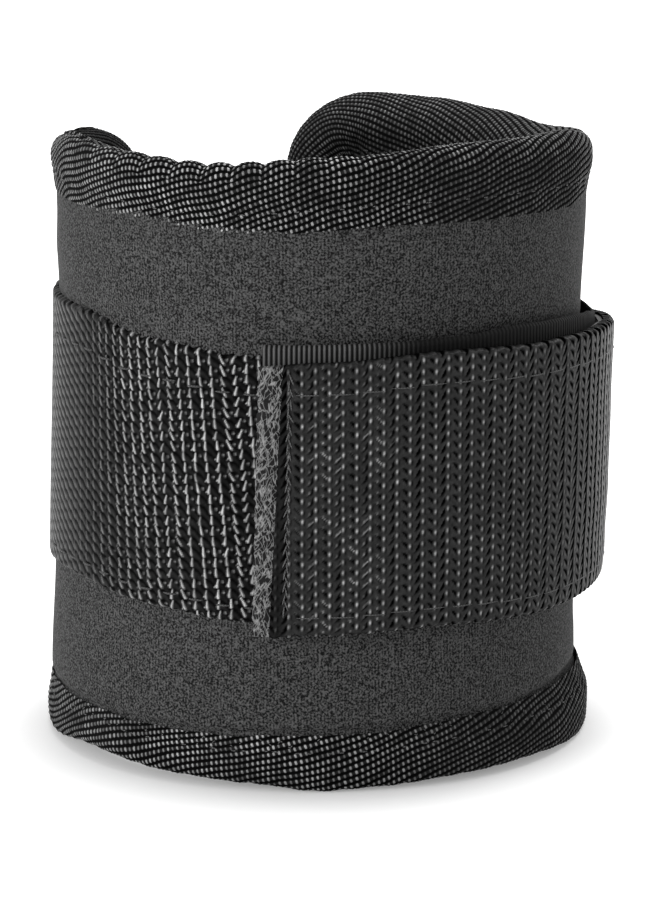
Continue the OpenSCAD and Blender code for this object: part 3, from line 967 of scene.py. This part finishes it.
def webbing_lie(angle, share, saw=0):
    """Height at a share of the sewn webbing's width, and the radius of its face, which sinks into the
    neoprene on the left."""
    foot = WEBBING_LOW + edge_offset(angle, WEBBING_FOOT)
    top = WEBBING_HIGH + edge_offset(angle, WEBBING_TOP)
    height = foot + (top - foot) * share + saw
    sink = 0.9 * MM * (ramp(-np.degrees(angle), 6, 16) - ramp(-np.degrees(angle), 92, 104))
    return height, sizes().webbing - sink + lean(angle, height)


class CUFF_OT_webbing(bpy.types.Operator):
    """Sewn webbing round the cuff: woven on the left, where it shows, and plain under the loop band"""
    bl_idname = "cuff.webbing"
    bl_label = "Webbing"

    def execute(self, context):
        s, w = sizes(), weaves()
        for side, far in ((LEFT, 116.8), (RIGHT, 174.8)):
            reach = math.radians(far) * s.webbing
            u = (column_steps(-reach, 0) if side == LEFT else np.linspace(0, reach, 90))[:, None]
            rows = int(s.webbing_width / (w.row / WEAVE_STEPS)) if side == LEFT else 40
            across = np.linspace(0, s.webbing_width, rows + 1)[None, :]
            u, across = np.broadcast_arrays(u, across)
            share = across / s.webbing_width
            degrees = np.degrees(u / s.webbing)
            slip = eased(degrees, LINE_LEAN) * (s.webbing_width / 2 - across)
            angle = (u + (slip if side == LEFT else 0)) / s.webbing
            height, base = webbing_lie(angle, share, teeth(u, share))
            relief, level, painted_glint = self.weave(u, across, degrees) if side == LEFT else (0 * u,) * 3
            base = base + 0.4 * tuck(angle, height)
            drop = band_edge(across, s.webbing_width, EDGE_ROUND)
            radius = base - drop + (relief - FLAT) * w.yarn
            piece = woven("webbing_band_" + SIDE[side], polar(angle, radius, height),
                          polar(angle, base - s.webbing_thickness, height), level, painted_glint,
                          finish("sewn webbing", webbing_finish, 1.1))
            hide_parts("webbing_" + SIDE[side], "webbing_front")
            bend_at_fold(piece, side)
        return {"FINISHED"}

    def weave(self, along, across, degrees):
        """Relief, colour level and painted highlights of the left webbing: yarns that run down to the right in
        one line from column to column, with a painted highlight stroke where each rises between two columns,
        except at the far left. The colour level holds painted shade between the yarns and painted light by the
        angle from the front."""
        s, w = sizes(), weaves()
        place = along / w.column + COLUMN_START
        column = np.floor(place)
        a = place - column
        uneven = wobble(along / (0.7 * MM), across / (0.7 * MM), SEED["stroke"])
        turn = across / w.row + YARN_FALL * place + 0.1 * np.sin(2 * np.pi * a) + 0.06 * uneven
        ridge = np.abs(np.cos(np.pi * turn))
        up = across / w.row + YARN_FALL * (column + 0.3)
        luck, odd = chance(column, np.round(up)), chance(column + 57, np.round(up)) - 0.5
        up = up - np.round(up) + 0.16 * odd
        slope = eased(np.degrees((column + 0.1) * w.column / s.webbing), STROKE_LEAN) + 0.3 * odd
        middle = STROKE_PLACE + 0.08 * luck + 0.03 * uneven + slope * up
        foot = ramp(-up, -0.35, 0.4)
        stroke = spot(a, middle, STROKE_WIDTH + 0.04 * foot) * (1 - ramp(np.abs(up), 0.26 + 0.14 * luck, 0.5))
        leg = spot(a, middle + 0.9 * up + 0.05, STROKE_WIDTH) * spot(up, -0.22, 0.15) * (odd > 0.1 * slope)
        stroke = np.maximum(stroke * (0.9 + 0.3 * uneven), 0.75 * leg)
        dot = 0.4 * (luck > 0.45) * spot(a, STRAY_PLACE, 0.07) * spot(up, 0.2 + 0.3 * odd, 0.1)
        near = 1 - ramp(-degrees, 46, 62)
        relief = 0.35 + 0.45 * ridge + 0.3 * near * (stroke - 0.5)
        # Painted shade between the yarns, and painted light by the angle from the front
        level = (0.04 + 0.96 * ridge ** 1.5 * (1 - 0.6 * near * luck)) * eased(degrees, WEBBING_PAINTED_LIGHT)
        return relief, level, (stroke * (0.65 + 0.35 * luck) + dot) * eased(degrees, WEBBING_PAINTED_GLINT)


class CUFF_OT_loop_band(bpy.types.Operator):
    """Loop band over the webbing's right part, where the strap closes"""
    bl_idname = "cuff.loop_band"
    bl_label = "Loop band"

    def execute(self, context):
        s = sizes()
        angle = np.radians(np.linspace(-11.2, 174.6, 360))[:, None]
        across = np.linspace(0, s.webbing_width, 90)[None, :]
        angle, across = np.broadcast_arrays(angle, across)
        height = WEBBING_LOW + across + edge_offset(angle, LOOP_EDGE)
        selvage = np.clip((np.abs(across - LOOP_MIDDLE) - 20 * MM) / (1 * MM), 0, 1)
        pile = wobble(angle * 300, across / (0.35 * MM), SEED["pile"]) * 0.08 * MM
        radius = s.loop - 0.45 * MM * selvage + pile * (1 - selvage)
        radius = radius - band_edge(across, s.webbing_width, 0.5 * MM) + 0.6 * tuck(angle, height)
        face = polar(angle, radius, height)
        back = polar(angle, s.webbing - 0.05 * MM + 0.5 * tuck(angle, height), height)
        loop = band_loop(face, back, 6)
        cloth = np.stack([angle * s.loop, across], -1)
        piece = new_object("loop_band", loop, tube(loop), finish("loop pile", loop_finish),
                           band_loop(cloth, cloth, 6))
        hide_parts("loop_tape_front", "loop_tape_right")
        bend_at_fold(piece, RIGHT)
        return {"FINISHED"}


# Inner line of the strap: degrees from the front and millimetres from the axis
STRAP_STATIONS = ((-18, 54.6), (174.8, 54.6), (188, 52.1), (230, 52.1), (256, 52.1))
TIP_TOP, TIP_FOOT = math.radians(-6.6), math.radians(-9.4)
FRINGE_TOP, FRINGE_FOOT = math.radians(-11.6), math.radians(-12.9)
SEAM_TOP, SEAM_FOOT = math.radians(-5.2), math.radians(-6.5)


def strap_plan():
    """Inner line of the strap seen from above, as a dense table: round the cuff from the tip, straight over
    both ends of the cuff, then round the left wing. Corners are rounded by a running mean."""
    places = np.radians([p for p, r in STRAP_STATIONS])
    corners = polar(places, np.array([r for p, r in STRAP_STATIONS]) * MM, 0)[:, :2]
    parts = []
    for i, steps in enumerate((1890, 132, 420, 260)):
        share = np.linspace(0, 1, steps, endpoint=False)[:, None]
        if i in (1, 2):
            parts.append(corners[i] + (corners[i + 1] - corners[i]) * share)
        else:
            turn = places[i] + (places[i + 1] - places[i]) * share[:, 0]
            parts.append(polar(turn, STRAP_STATIONS[i][1] * MM, 0)[:, :2])
    line = np.concatenate(parts)
    reach = 45
    padded = np.concatenate([np.repeat(line[:1], reach, 0), line, np.repeat(line[-1:], reach, 0)])
    kernel = np.hanning(2 * reach + 1)
    kernel = kernel / kernel.sum()
    rounded = np.stack([np.convolve(padded[:, i], kernel, "valid") for i in range(2)], 1)
    rounded = rounded[reach:-reach]
    length = np.concatenate([[0], np.cumsum(np.linalg.norm(np.diff(rounded, axis=0), axis=1))])
    heading = np.gradient(rounded, axis=0)
    normal = np.stack([heading[:, 1], -heading[:, 0]], 1)
    normal = normal / np.linalg.norm(normal, axis=1, keepdims=True)
    angle = np.unwrap(np.arctan2(rounded[:, 0], -rounded[:, 1]))
    return {"line": rounded, "normal": normal, "length": length, "angle": angle}


def strap_place(plan, along):
    """Plan point, outward direction and angle at distances along the strap."""
    def read(column):
        return np.interp(along, plan["length"], column)
    line = np.stack([read(plan["line"][:, i]) for i in range(2)], -1)
    normal = np.stack([read(plan["normal"][:, i]) for i in range(2)], -1)
    return line, normal, read(plan["angle"])


def strap_at(plan, angle):
    """Distance along the strap at an angle from the front."""
    return np.interp(angle, plan["angle"], plan["length"])


def slanting(plan, foot, top, share):
    """Distance along the strap of a line that slants from an angle at its foot to one at its top."""
    return strap_at(plan, foot + (top - foot) * share)


def strap_points(plan, along, across, lift):
    """Points at a distance along the strap, a share of its width, and a lift off its inner line."""
    line, normal, angle = strap_place(plan, along)
    foot = STRAP_LOW + edge_offset(angle, STRAP_FOOT)
    top = STRAP_HIGH + edge_offset(angle, STRAP_TOP)
    height = foot + (top - foot) * across
    flat = line + normal * (lift + tuck(angle, height))[..., None]
    return np.concatenate([flat, height[..., None] + BASE], -1)


BEND_RADIUS = 55 * MM


def bend_strap(piece, a, b, start, end):
    """Bakes a strap piece's transform into its mesh; the points at the two angles are worked out but not used.
    Bodies a and b are not used.
    """
    start, end = (polar(math.radians(degrees), BEND_RADIUS, MID_HEIGHT) for degrees in (start, end))
    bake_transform(piece)


TIP_BEND = ("strap_side", "strap_front", 44, 22)
SIDE_BEND = ("strap_back", "strap_side", 138, 122)
ROOT_BEND = ("left_wing", "strap_back", 250, 236)
# Where the strap's lengths meet and where its hook band lies, in degrees from the front
TIP_SPLIT, REAR_SPLIT, ROOT_END = 82, 190, 255.3
HOOK_START, HOOK_END = -6, 121
# Name, first and last angle, bend and replaced nodes of each length; the first starts at the slanting cut
STRAP_PARTS = (
    ("strap_tip", None, TIP_SPLIT, TIP_BEND, ("strap_front",)),
    ("strap_flank", TIP_SPLIT, REAR_SPLIT, SIDE_BEND, ("strap_side",)),
    ("strap_rear", REAR_SPLIT, ROOT_END, ROOT_BEND, ("strap_back", "strap_root")),
)

# Painted light on the strap's yarns by the angle from the front, and the slope of its slits of painted shadow
STRAP_PAINTED_LIGHT = ((-12, 0.44), (5, 0.44), (15, 0.49), (50, 0.52), (72, 0.5), (256, 0.5))
SLIT_RISE, SLIT_FALL = 1.5, 1.05
# Places of its painted highlight dots, its pits of painted shade and its painted highlight flecks, and of the
# slits' ends, as shares of a column
DOT_PLACE, PIT_PLACE, FLECK_PLACE, SLIT_END = 0.1, 0.26, 0.62, 0.97
# Painted highlight flecks near the tip, and the strength of all the strap's painted highlights, by the angle
# from the front
TIP_PAINTED_GLINTS = ((-12, 0.15), (-4, 0.4), (2, 1), (11, 1), (14.5, 0), (256, 0))
STRAP_PAINTED_GLINT = ((-12, 0.8), (8, 1), (14, 0.85), (24, 0.8), (38, 0.65), (52, 0.25), (80, 0.15), (256, 0.2))


class CUFF_OT_strap(bpy.types.Operator):
    """Closing strap: three lengths of webbing that meet between its bend lines, and its frayed cut end"""
    bl_idname = "cuff.strap"
    bl_label = "Strap"

    def execute(self, context):
        s, w = sizes(), weaves()
        plan = strap_plan()
        across = np.linspace(0, s.webbing_width, int(s.webbing_width / (w.row / WEAVE_STEPS)) + 1)[None, :]
        share = across / s.webbing_width
        cloth = finish("strap webbing", webbing_finish, 1.0)
        for name, low, high, bend, nodes in STRAP_PARTS:
            last = strap_at(plan, math.radians(high))
            if low is None:
                cut = slanting(plan, TIP_FOOT, TIP_TOP, share)
                steps = column_steps(strap_at(plan, SEAM_TOP) + w.column, last)[:, None]
                margin = cut + (steps[0] - cut) * np.linspace(0, 1, 20, endpoint=False)[:, None]
                along = np.concatenate([margin, steps + 0 * share])
            else:
                along = column_steps(strap_at(plan, math.radians(low)), last)[:, None] + 0 * share
            wide = np.broadcast_to(share, along.shape)
            degrees = np.degrees(strap_place(plan, along)[2])
            relief, level, painted_glint = self.weave(along, wide * s.webbing_width, degrees)
            if low is None:
                sewn = ramp(along - slanting(plan, SEAM_FOOT, SEAM_TOP, share), -1 * MM, 0.8 * MM)
                relief, painted_glint = 0.6 + (relief - 0.6) * (0.3 + 0.7 * sewn), painted_glint * (0.15 + 0.85 * sewn)
                level = level * (0.45 + 0.55 * sewn)
            drop = band_edge(wide * s.webbing_width, s.webbing_width, EDGE_ROUND)
            lift = s.webbing_thickness - drop + (relief - FLAT) * w.yarn
            saw = teeth(along, wide) / s.webbing_width
            piece = woven(name, strap_points(plan, along, wide + saw, lift),
                          strap_points(plan, along, wide, 0 * lift), level, painted_glint, cloth)
            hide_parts(*nodes)
            bend_strap(piece, *bend)
        self.frayed_end(plan)
        return {"FINISHED"}

    def weave(self, along, across, degrees):
        """Relief, colour level and painted highlights of the strap, column by column: a painted highlight dot
        where each yarn comes up, and a slit of painted shadow that opens towards the next column's dot, rising
        and falling in turn, and wider where the strap turns away. A painted highlight lines each slit's edge,
        strongest where the strap turns away, and a pit of painted shade lies near each dot. Near the tip a
        painted highlight fleck lies on the slit, and some flecks run on to the dot. The colour level also
        carries painted light by the angle from the front."""
        w = weaves()
        column = np.floor(along / w.column + 1e-6)
        a = np.clip(along / w.column - column, 0, 1)
        rising = column % 2 == 0
        row = across / w.row + 0.05 * wobble(along / (0.8 * MM), across / (0.8 * MM), SEED["slit"])
        up = row + np.where(rising, 0.1, -0.1)
        luck = chance(column, np.round(up))
        up = up - np.round(up)
        left = SLIT_END - a
        slit = np.where(rising, row - 0.03 + SLIT_RISE * left, row + 0.13 - SLIT_FALL * left)
        slit = slit - np.round(slit)
        turned = ramp(degrees, 30, 60)
        far = ramp(degrees, 50, 72) * (1 - ramp(degrees, 95, 110))
        half = np.where(rising, 0.29 + 0.12 * turned + 0.3 * far, 0.23 + 0.08 * turned + 0.2 * far)
        half = half * ramp(a, 0.3 - 0.2 * turned, 0.85)
        gap = 1 - ramp(np.abs(slit), 0.7 * half, 1.3 * half + 0.02)
        gap = gap * ramp(a, 0.42 - 0.2 * turned, 0.56 - 0.2 * turned)
        pit = spot(a, PIT_PLACE, 0.09) * spot(up, -0.08, 0.28)
        edge = spot(np.where(rising, slit, -slit), half + 0.16, 0.12) * ramp(a, 0.3, 0.6)
        shallow = turned * (1 - ramp(degrees, 78, 86))
        furrow = 1 - ramp(a, 0, 0.12) + ramp(a, 0.85, 1) + pit
        relief = 1 - 0.3 * (1 - shallow) * furrow - (0.5 - 0.4 * shallow) * gap
        # Painted shadow in the slits and pits, painted highlight along the slits' edges, and painted light by
        # the angle below
        level = (0.8 + 0.2 * luck + (0.15 + 0.5 * turned) * edge) * (1 - gap) * (1 - 0.95 * pit)
        level = level * eased(degrees, STRAP_PAINTED_LIGHT)
        odd = luck - 0.5
        dot = spot(a, DOT_PLACE + 0.04 * odd, 0.07) * spot(up, 0.12 * odd, 0.16) * (0.55 + 0.45 * luck)
        tail = (luck > 0.65) * ramp(a, 0.58, 0.66) * spot(slit, 0.13 - 0.4 * (a - FLECK_PLACE), 0.08)
        fleck = np.maximum(spot(a, FLECK_PLACE, 0.09) * spot(slit, 0.13, 0.12) * (0.4 + 0.6 * luck), 0.8 * tail)
        patch = 0.45 + 0.7 * wobble(along / (1.2 * MM), across / (4 * MM), SEED["fleck"])
        painted_glint = np.clip(dot + fleck * eased(degrees, TIP_PAINTED_GLINTS) * patch, 0, 1.2)
        return np.clip(relief, 0, 1), level, painted_glint * eased(degrees, STRAP_PAINTED_GLINT)

    def frayed_end(self, plan):
        """Fuzzy end of the hook band, which reaches past the strap's slanting cut: a flat, uneven profile
        carried up the end."""
        up = np.linspace(0.004, 0.996, 240)[:, None]
        turn = np.linspace(0, 2 * np.pi, 40, endpoint=False)[None, :]
        near = slanting(plan, TIP_FOOT, TIP_TOP, up) + 0.6 * MM
        far = slanting(plan, FRINGE_FOOT, FRINGE_TOP, up)
        fringe = wobble(up * 150, turn * 2.5, SEED["fringe"]) * 0.24 * MM
        share = 0.5 + 0.5 * np.sign(np.cos(turn)) * np.abs(np.cos(turn)) ** 0.6
        along = far + (near - far) * share + fringe * np.cos(turn)
        lift = 0.1 * MM + (0.85 * MM + fringe) * np.sign(np.sin(turn)) * np.abs(np.sin(turn)) ** 0.6
        points = strap_points(plan, along, up + 0 * turn, lift)
        cloth = np.stack(np.broadcast_arrays(along, up * sizes().webbing_width), -1)
        piece = new_object("strap_fringe", points, tube(points), finish("frayed yarn", fray_finish), cloth)
        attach(piece, "strap_front")


class CUFF_OT_hook_band(bpy.types.Operator):
    """Hook band on the inside of the strap"""
    bl_idname = "cuff.hook_band"
    bl_label = "Hook band"

    def execute(self, context):
        s = sizes()
        plan = strap_plan()
        first, last = (strap_at(plan, math.radians(degrees)) for degrees in (HOOK_START, HOOK_END))
        along = np.linspace(first, last, 220)[:, None]
        share = np.linspace(0.01, 0.99, 40)[None, :]
        along, share = np.broadcast_arrays(along, share)
        face = strap_points(plan, along, share, -0.95 * MM + 0 * along)
        back = strap_points(plan, along, share, 0.1 * MM + 0 * along)
        loop = band_loop(face, back, 3)
        cloth = np.stack([along, share * s.webbing_width], -1)
        piece = new_object("hook_band", loop, tube(loop), finish("hook rows", hook_finish),
                           band_loop(cloth, cloth, 3))
        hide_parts("hook_tape_side", "hook_tape_front")
        bend_strap(piece, *TIP_BEND)
        return {"FINISHED"}


STITCH_STEPS, STITCH_SIDES = 8, 6
THREAD_THICK, THREAD_LIFT = 0.22 * MM, 0.02 * MM
UP = np.array([0, 0, 1.0])
# Shares of the strap's width at which its two long rows are sewn
STRAP_ROWS = (0.89, 0.07)


def stitches(name, place, heading, normal, shade, long=None, thick=THREAD_THICK):
    """A row of stitches: each a short thread that arches out of the cloth and back, thinner at its ends."""
    long = long or weaves().stitch
    x = np.linspace(-0.5, 0.5, STITCH_STEPS)[None, :, None, None]
    turn = np.linspace(0, 2 * np.pi, STITCH_SIDES, endpoint=False)[None, None, :, None]
    heading, normal, place = (v[:, None, None, :] for v in (heading, normal, place))
    side = np.cross(heading, normal)
    slim = thick * (0.35 + 0.65 * np.cos(np.pi * x) ** 0.6)
    arch = thick * (1.2 * np.cos(np.pi * x) - 0.8)
    points = place + heading * x * long + normal * (arch + slim * np.cos(turn)) + side * slim * np.sin(turn)
    shape = points.shape[:3]
    index = np.arange(math.prod(shape)).reshape(shape)
    quads = np.concatenate([grid_faces(one, True) for one in index])
    caps = [one[0].tolist() for one in index] + [one[-1][::-1].tolist() for one in index]
    cloth = np.stack(np.broadcast_arrays(x[..., 0] * long, turn[..., 0] / (2 * np.pi)), -1)
    cloth = np.broadcast_to(cloth, (*shape, 2)).reshape(-1, 2)
    return new_object(name, points, (quads, caps), finish(f"thread {shade}", thread_finish, shade), cloth)


def unit(v):
    """Vectors of length one."""
    return v / np.linalg.norm(v, axis=-1, keepdims=True)


def in_turn(count):
    """-1 and 1 by turns, as a column."""
    return np.where(np.arange(count) % 2, 1.0, -1.0)[:, None]


def hem_row(side, level, inside, depth_share, pitch, seed=None):
    """Places of a stitch row on the binding: points a share of the way down its outer or inner side."""
    count = int((hem_length(side) - 4 * MM) / pitch)
    t = (np.arange(count) + 0.5)[:, None] * pitch
    share = depth_share + (0.09 * wobble(t / (1.5 * MM), 0 * t, seed) if seed else 0 * t)
    q = (FOLD_SHARE + (1 - FOLD_SHARE) * share) * (1 if inside else -1)
    here = hem_surface(side, level, t, q)[0][:, 0]
    ahead = hem_surface(side, level, t + 0.5 * MM, q)[0][:, 0]
    across = hem_surface(side, level, t, q + 0.02)[0][:, 0]
    heading = unit(ahead - here)
    normal = unit(np.cross(heading, across - here)) * -(side * level)
    return here + normal * 0.12 * MM, heading, normal


def strap_row(plan, along, share, lift=THREAD_LIFT):
    """Places on the strap's face and their normals, at distances along it and shares of its width."""
    along, share = np.broadcast_arrays(along, share)
    place = strap_points(plan, along, share, sizes().webbing_thickness + lift + 0 * along)
    return place, np.concatenate([strap_place(plan, along)[1], 0 * along[:, None]], 1)


class CUFF_OT_threads(bpy.types.Operator):
    """All sewing threads that show: on the binding, the webbing, the strap and its sewn root"""
    bl_idname = "cuff.threads"
    bl_label = "Threads"

    def execute(self, context):
        for side in (RIGHT, LEFT):
            for level in (UPPER, LOWER):
                for inside in (False, True):
                    row = hem_row(side, level, inside, 0.62, weaves().stitch_pitch)
                    word, shade = ("inner", 2.2) if inside else ("outer", 1.8)
                    name = f"binding_thread_{LEVEL[level]}_{word}_{SIDE[side]}"
                    piece = stitches(name, *row, shade, None, 0.2 * MM)
                    bend_at_fold(piece, side)
            self.overlock(side)
        self.webbing_rows()
        self.strap_rows()
        return {"FINISHED"}

    def overlock(self, side):
        """Loose overlock thread along the lower hem's edge: short threads that lean up and down in turn."""
        place, heading, normal = hem_row(side, LOWER, False, 0.84, 1.7 * MM, SEED["overlock"] + side)
        loose = wobble(np.arange(len(place)) * 1.3, 0, SEED["loose thread"])[:, None]
        tilt = 0.75 * in_turn(len(place)) + 0.4 * loose
        heading = unit(heading + tilt * np.cross(normal, heading))
        piece = stitches("overlock_" + SIDE[side], place, heading, normal, 3.0, 2.5 * MM, 0.15 * MM)
        bend_at_fold(piece, side)

    def webbing_rows(self):
        """Two rows along the webbing's left part, near its edges."""
        s, w = sizes(), weaves()
        angle = -np.arange(math.radians(14), math.radians(78), w.stitch_pitch / s.webbing)
        rows = []
        for share in (0.86, 0.06):
            height, radius = webbing_lie(angle, share)
            rows.append(polar(angle, radius + THREAD_LIFT, height))
        place = np.concatenate(rows)
        normal = unit(place * [1, 1, 0])
        heading = np.cross(normal, UP)
        piece = stitches("webbing_thread_left", place, heading, normal, 1.3)
        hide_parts("webbing_stitches_left")
        bend_at_fold(piece, LEFT)

    def strap_rows(self):
        """Rows along both edges of the strap, up its sewn root and up its tip."""
        s, w = sizes(), weaves()
        plan = strap_plan()
        tip, split = strap_at(plan, TIP_FOOT), strap_at(plan, math.radians(TIP_SPLIT))
        hook_end = strap_at(plan, math.radians(HOOK_END))

        def level_rows(start, end):
            rows = [strap_row(plan, np.arange(start, end, w.stitch_pitch), share) for share in STRAP_ROWS]
            place, normal = (np.concatenate(parts) for parts in zip(*rows))
            return place, np.cross(normal, UP), normal

        def upright_rows(*angles):
            share = np.arange(0.07, 0.94, w.stitch_pitch / s.webbing_width)
            rows = [strap_row(plan, strap_at(plan, math.radians(angle)), share) for angle in angles]
            place, normal = (np.concatenate(parts) for parts in zip(*rows))
            return place, np.broadcast_to(UP, place.shape), normal

        pieces = (
            ("strap_thread_tip", level_rows(tip + 7 * MM, split - 2 * MM), TIP_BEND, "strap_stitches_front"),
            ("strap_thread_flank", level_rows(split + 2 * MM, hook_end), SIDE_BEND, "strap_stitches_side"),
            ("root_thread", upright_rows(244.5, 253.5), ROOT_BEND, "root_stitches"),
        )
        for name, row, bend, node in pieces:
            piece = stitches(name, *row, 1.6, 4.9 * MM, 0.13 * MM)
            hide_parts(node)
            bend_strap(piece, *bend)
        self.seam(plan)

    def seam(self, plan):
        """Chain stitch up the strap's tip: short threads that lean to either side in turn."""
        share = np.arange(0.1, 0.96, 1.15 * MM / sizes().webbing_width)
        turn = in_turn(len(share))
        along = slanting(plan, SEAM_FOOT, SEAM_TOP, share) + 0.22 * MM * turn[:, 0]
        place, normal = strap_row(plan, along, share, THREAD_LIFT + 0.1 * MM)
        tilt = 0.28 * turn + 0.3 * wobble(np.arange(len(share)) * 1.7, 0, SEED["chain"])[:, None]
        heading = unit(UP + tilt * np.cross(normal, UP))
        piece = stitches("strap_seam", place, heading, normal, 2.0, 2.1 * MM, 0.15 * MM)
        bend_strap(piece, *TIP_BEND)


# Stage

PHOTO_HEIGHT = 900
CAMERA_PLACE = (1.895 * MM, -781.3 * MM, 167.1 * MM)
CAMERA_PITCH = math.radians(12.47)
FOCAL_PIXELS = 4131.5
SENSOR = 36.0
WHITE = (1, 1, 1, 1)
# Name, place, size and power of each lamp
LAMPS = (
    ("left softbox", (-0.8, -0.6, 0.1), 0.7, 9.0),
    ("top softbox", (0.12, 0.3, 0.9), 0.8, 9.0),
    ("right softbox", (0.8, -0.4, 0.1), 0.5, 1.0),
)


def area_light(name, place, size, power):
    """A soft square lamp that looks at the origin."""
    data = bpy.data.lights.new(name, "AREA")
    data.shape = "SQUARE"
    data.size = size
    data.energy = power
    lamp = bpy.data.objects.new(name, data)
    bpy.context.scene.collection.objects.link(lamp)
    lamp.location = place
    x, y, z = place
    lamp.rotation_euler = (math.atan2(math.hypot(x, y), z), 0, math.atan2(x, -y))


class CUFF_OT_stage(bpy.types.Operator):
    """Pale floor, white surroundings, soft studio lamps and the camera"""
    bl_idname = "cuff.stage"
    bl_label = "Stage"

    def execute(self, context):
        scene = context.scene
        scene.view_settings.view_transform = "Standard"
        self.surroundings(scene)
        self.floor(scene)
        for lamp in LAMPS:
            area_light(*lamp)
        lens = bpy.data.cameras.new("camera")
        lens.sensor_width = SENSOR
        lens.lens = FOCAL_PIXELS * SENSOR / PHOTO_HEIGHT
        camera = bpy.data.objects.new("camera", lens)
        scene.collection.objects.link(camera)
        camera.location = CAMERA_PLACE
        camera.rotation_euler = (math.pi / 2 - CAMERA_PITCH, 0, 0)
        scene.camera = camera
        return {"FINISHED"}

    def surroundings(self, scene):
        """White where they are seen, and dimmer as light."""
        world = bpy.data.worlds.new("surroundings")
        scene.world = world
        world.use_nodes = True
        n = Nodes(world.node_tree)
        back = n.tree.nodes["Background"]
        back.inputs["Color"].default_value = WHITE
        level = n.span(n.seen_directly(), 0.0, 1.0, 0.38, 1.0)
        n.tree.links.new(level, back.inputs["Strength"])

    def floor(self, scene):
        """A wide pale plate just under the cuff: its own shade plus an emission that makes it white where it is
        seen, weaker close round the cuff, so that it paints a contact shadow there."""
        x, y = np.meshgrid(np.linspace(-3, 3, 3), np.linspace(-3, 3, 3), indexing="ij")
        points = np.stack([x, y, np.full_like(x, BASE - 1.1 * MM)], -1)
        faces = grid_faces(np.arange(9).reshape(3, 3))
        mesh = bpy.data.meshes.new("floor")
        mesh.from_pydata(points.reshape(-1, 3).tolist(), [], faces.tolist())
        made = bpy.data.materials.new("pale floor")
        made.use_nodes = True
        n = Nodes(made.node_tree)
        n.tree.nodes.remove(n.tree.nodes["Principled BSDF"])
        shade = n.add("BsdfDiffuse", {"Color": (0.8, 0.8, 0.8, 1)})
        away = n.add("VectorMath", {0: n.place()}, operation="LENGTH").outputs[1]
        # Painted shadow: the emission is weak close round the cuff's foot and rises further out to white
        level = n.calc("ADD", n.span(away, 0.072, 0.088, 0.12, 0.55), n.span(away, 0.12, 0.4, 0.0, 0.4))
        glow_and_painted_shadow = n.add("Emission", {"Color": WHITE, "Strength": n.times(n.seen_directly(), level)})
        both = n.add("AddShader", {0: shade.outputs[0], 1: glow_and_painted_shadow.outputs[0]})
        n.tree.links.new(both.outputs[0], n.tree.nodes["Material Output"].inputs["Surface"])
        mesh.materials.append(made)
        floor = bpy.data.objects.new("floor", mesh)
        scene.collection.objects.link(floor)


class CUFF_PT_panel(bpy.types.Panel):
    """Sizes, weaves, colours and pieces of the cuff"""
    bl_idname = "CUFF_PT_panel"
    bl_label = "Ankle cuff weight"
    bl_space_type = "VIEW_3D"
    bl_region_type = "UI"
    bl_category = "Cuff"

    def draw(self, context):
        for name in GROUPS:
            group = getattr(context.scene, name)
            box = self.layout.box()
            for key in group.__annotations__:
                box.prop(group, key)
        for step in STEPS:
            self.layout.operator(step.bl_idname)


STEPS = (CUFF_OT_stage, CUFF_OT_neoprene, CUFF_OT_lining, CUFF_OT_foam, CUFF_OT_packs, CUFF_OT_binding,
         CUFF_OT_webbing, CUFF_OT_loop_band, CUFF_OT_strap, CUFF_OT_hook_band, CUFF_OT_threads)
GROUPS = {"cuff_sizes": CuffSizes, "cuff_weaves": CuffWeaves, "cuff_colours": CuffColours}


def register():
    for name, group in GROUPS.items():
        bpy.utils.register_class(group)
        setattr(bpy.types.Scene, name, bpy.props.PointerProperty(type=group))
    for made in (*STEPS, CUFF_PT_panel):
        bpy.utils.register_class(made)


def unregister():
    for made in (CUFF_PT_panel, *reversed(STEPS)):
        bpy.utils.unregister_class(made)
    for name, group in GROUPS.items():
        delattr(bpy.types.Scene, name)
        bpy.utils.unregister_class(group)


def main():
    register()
    for step in STEPS:
        space, action = step.bl_idname.split(".")
        getattr(getattr(bpy.ops, space), action)()


if __name__ == "__main__":
    main()
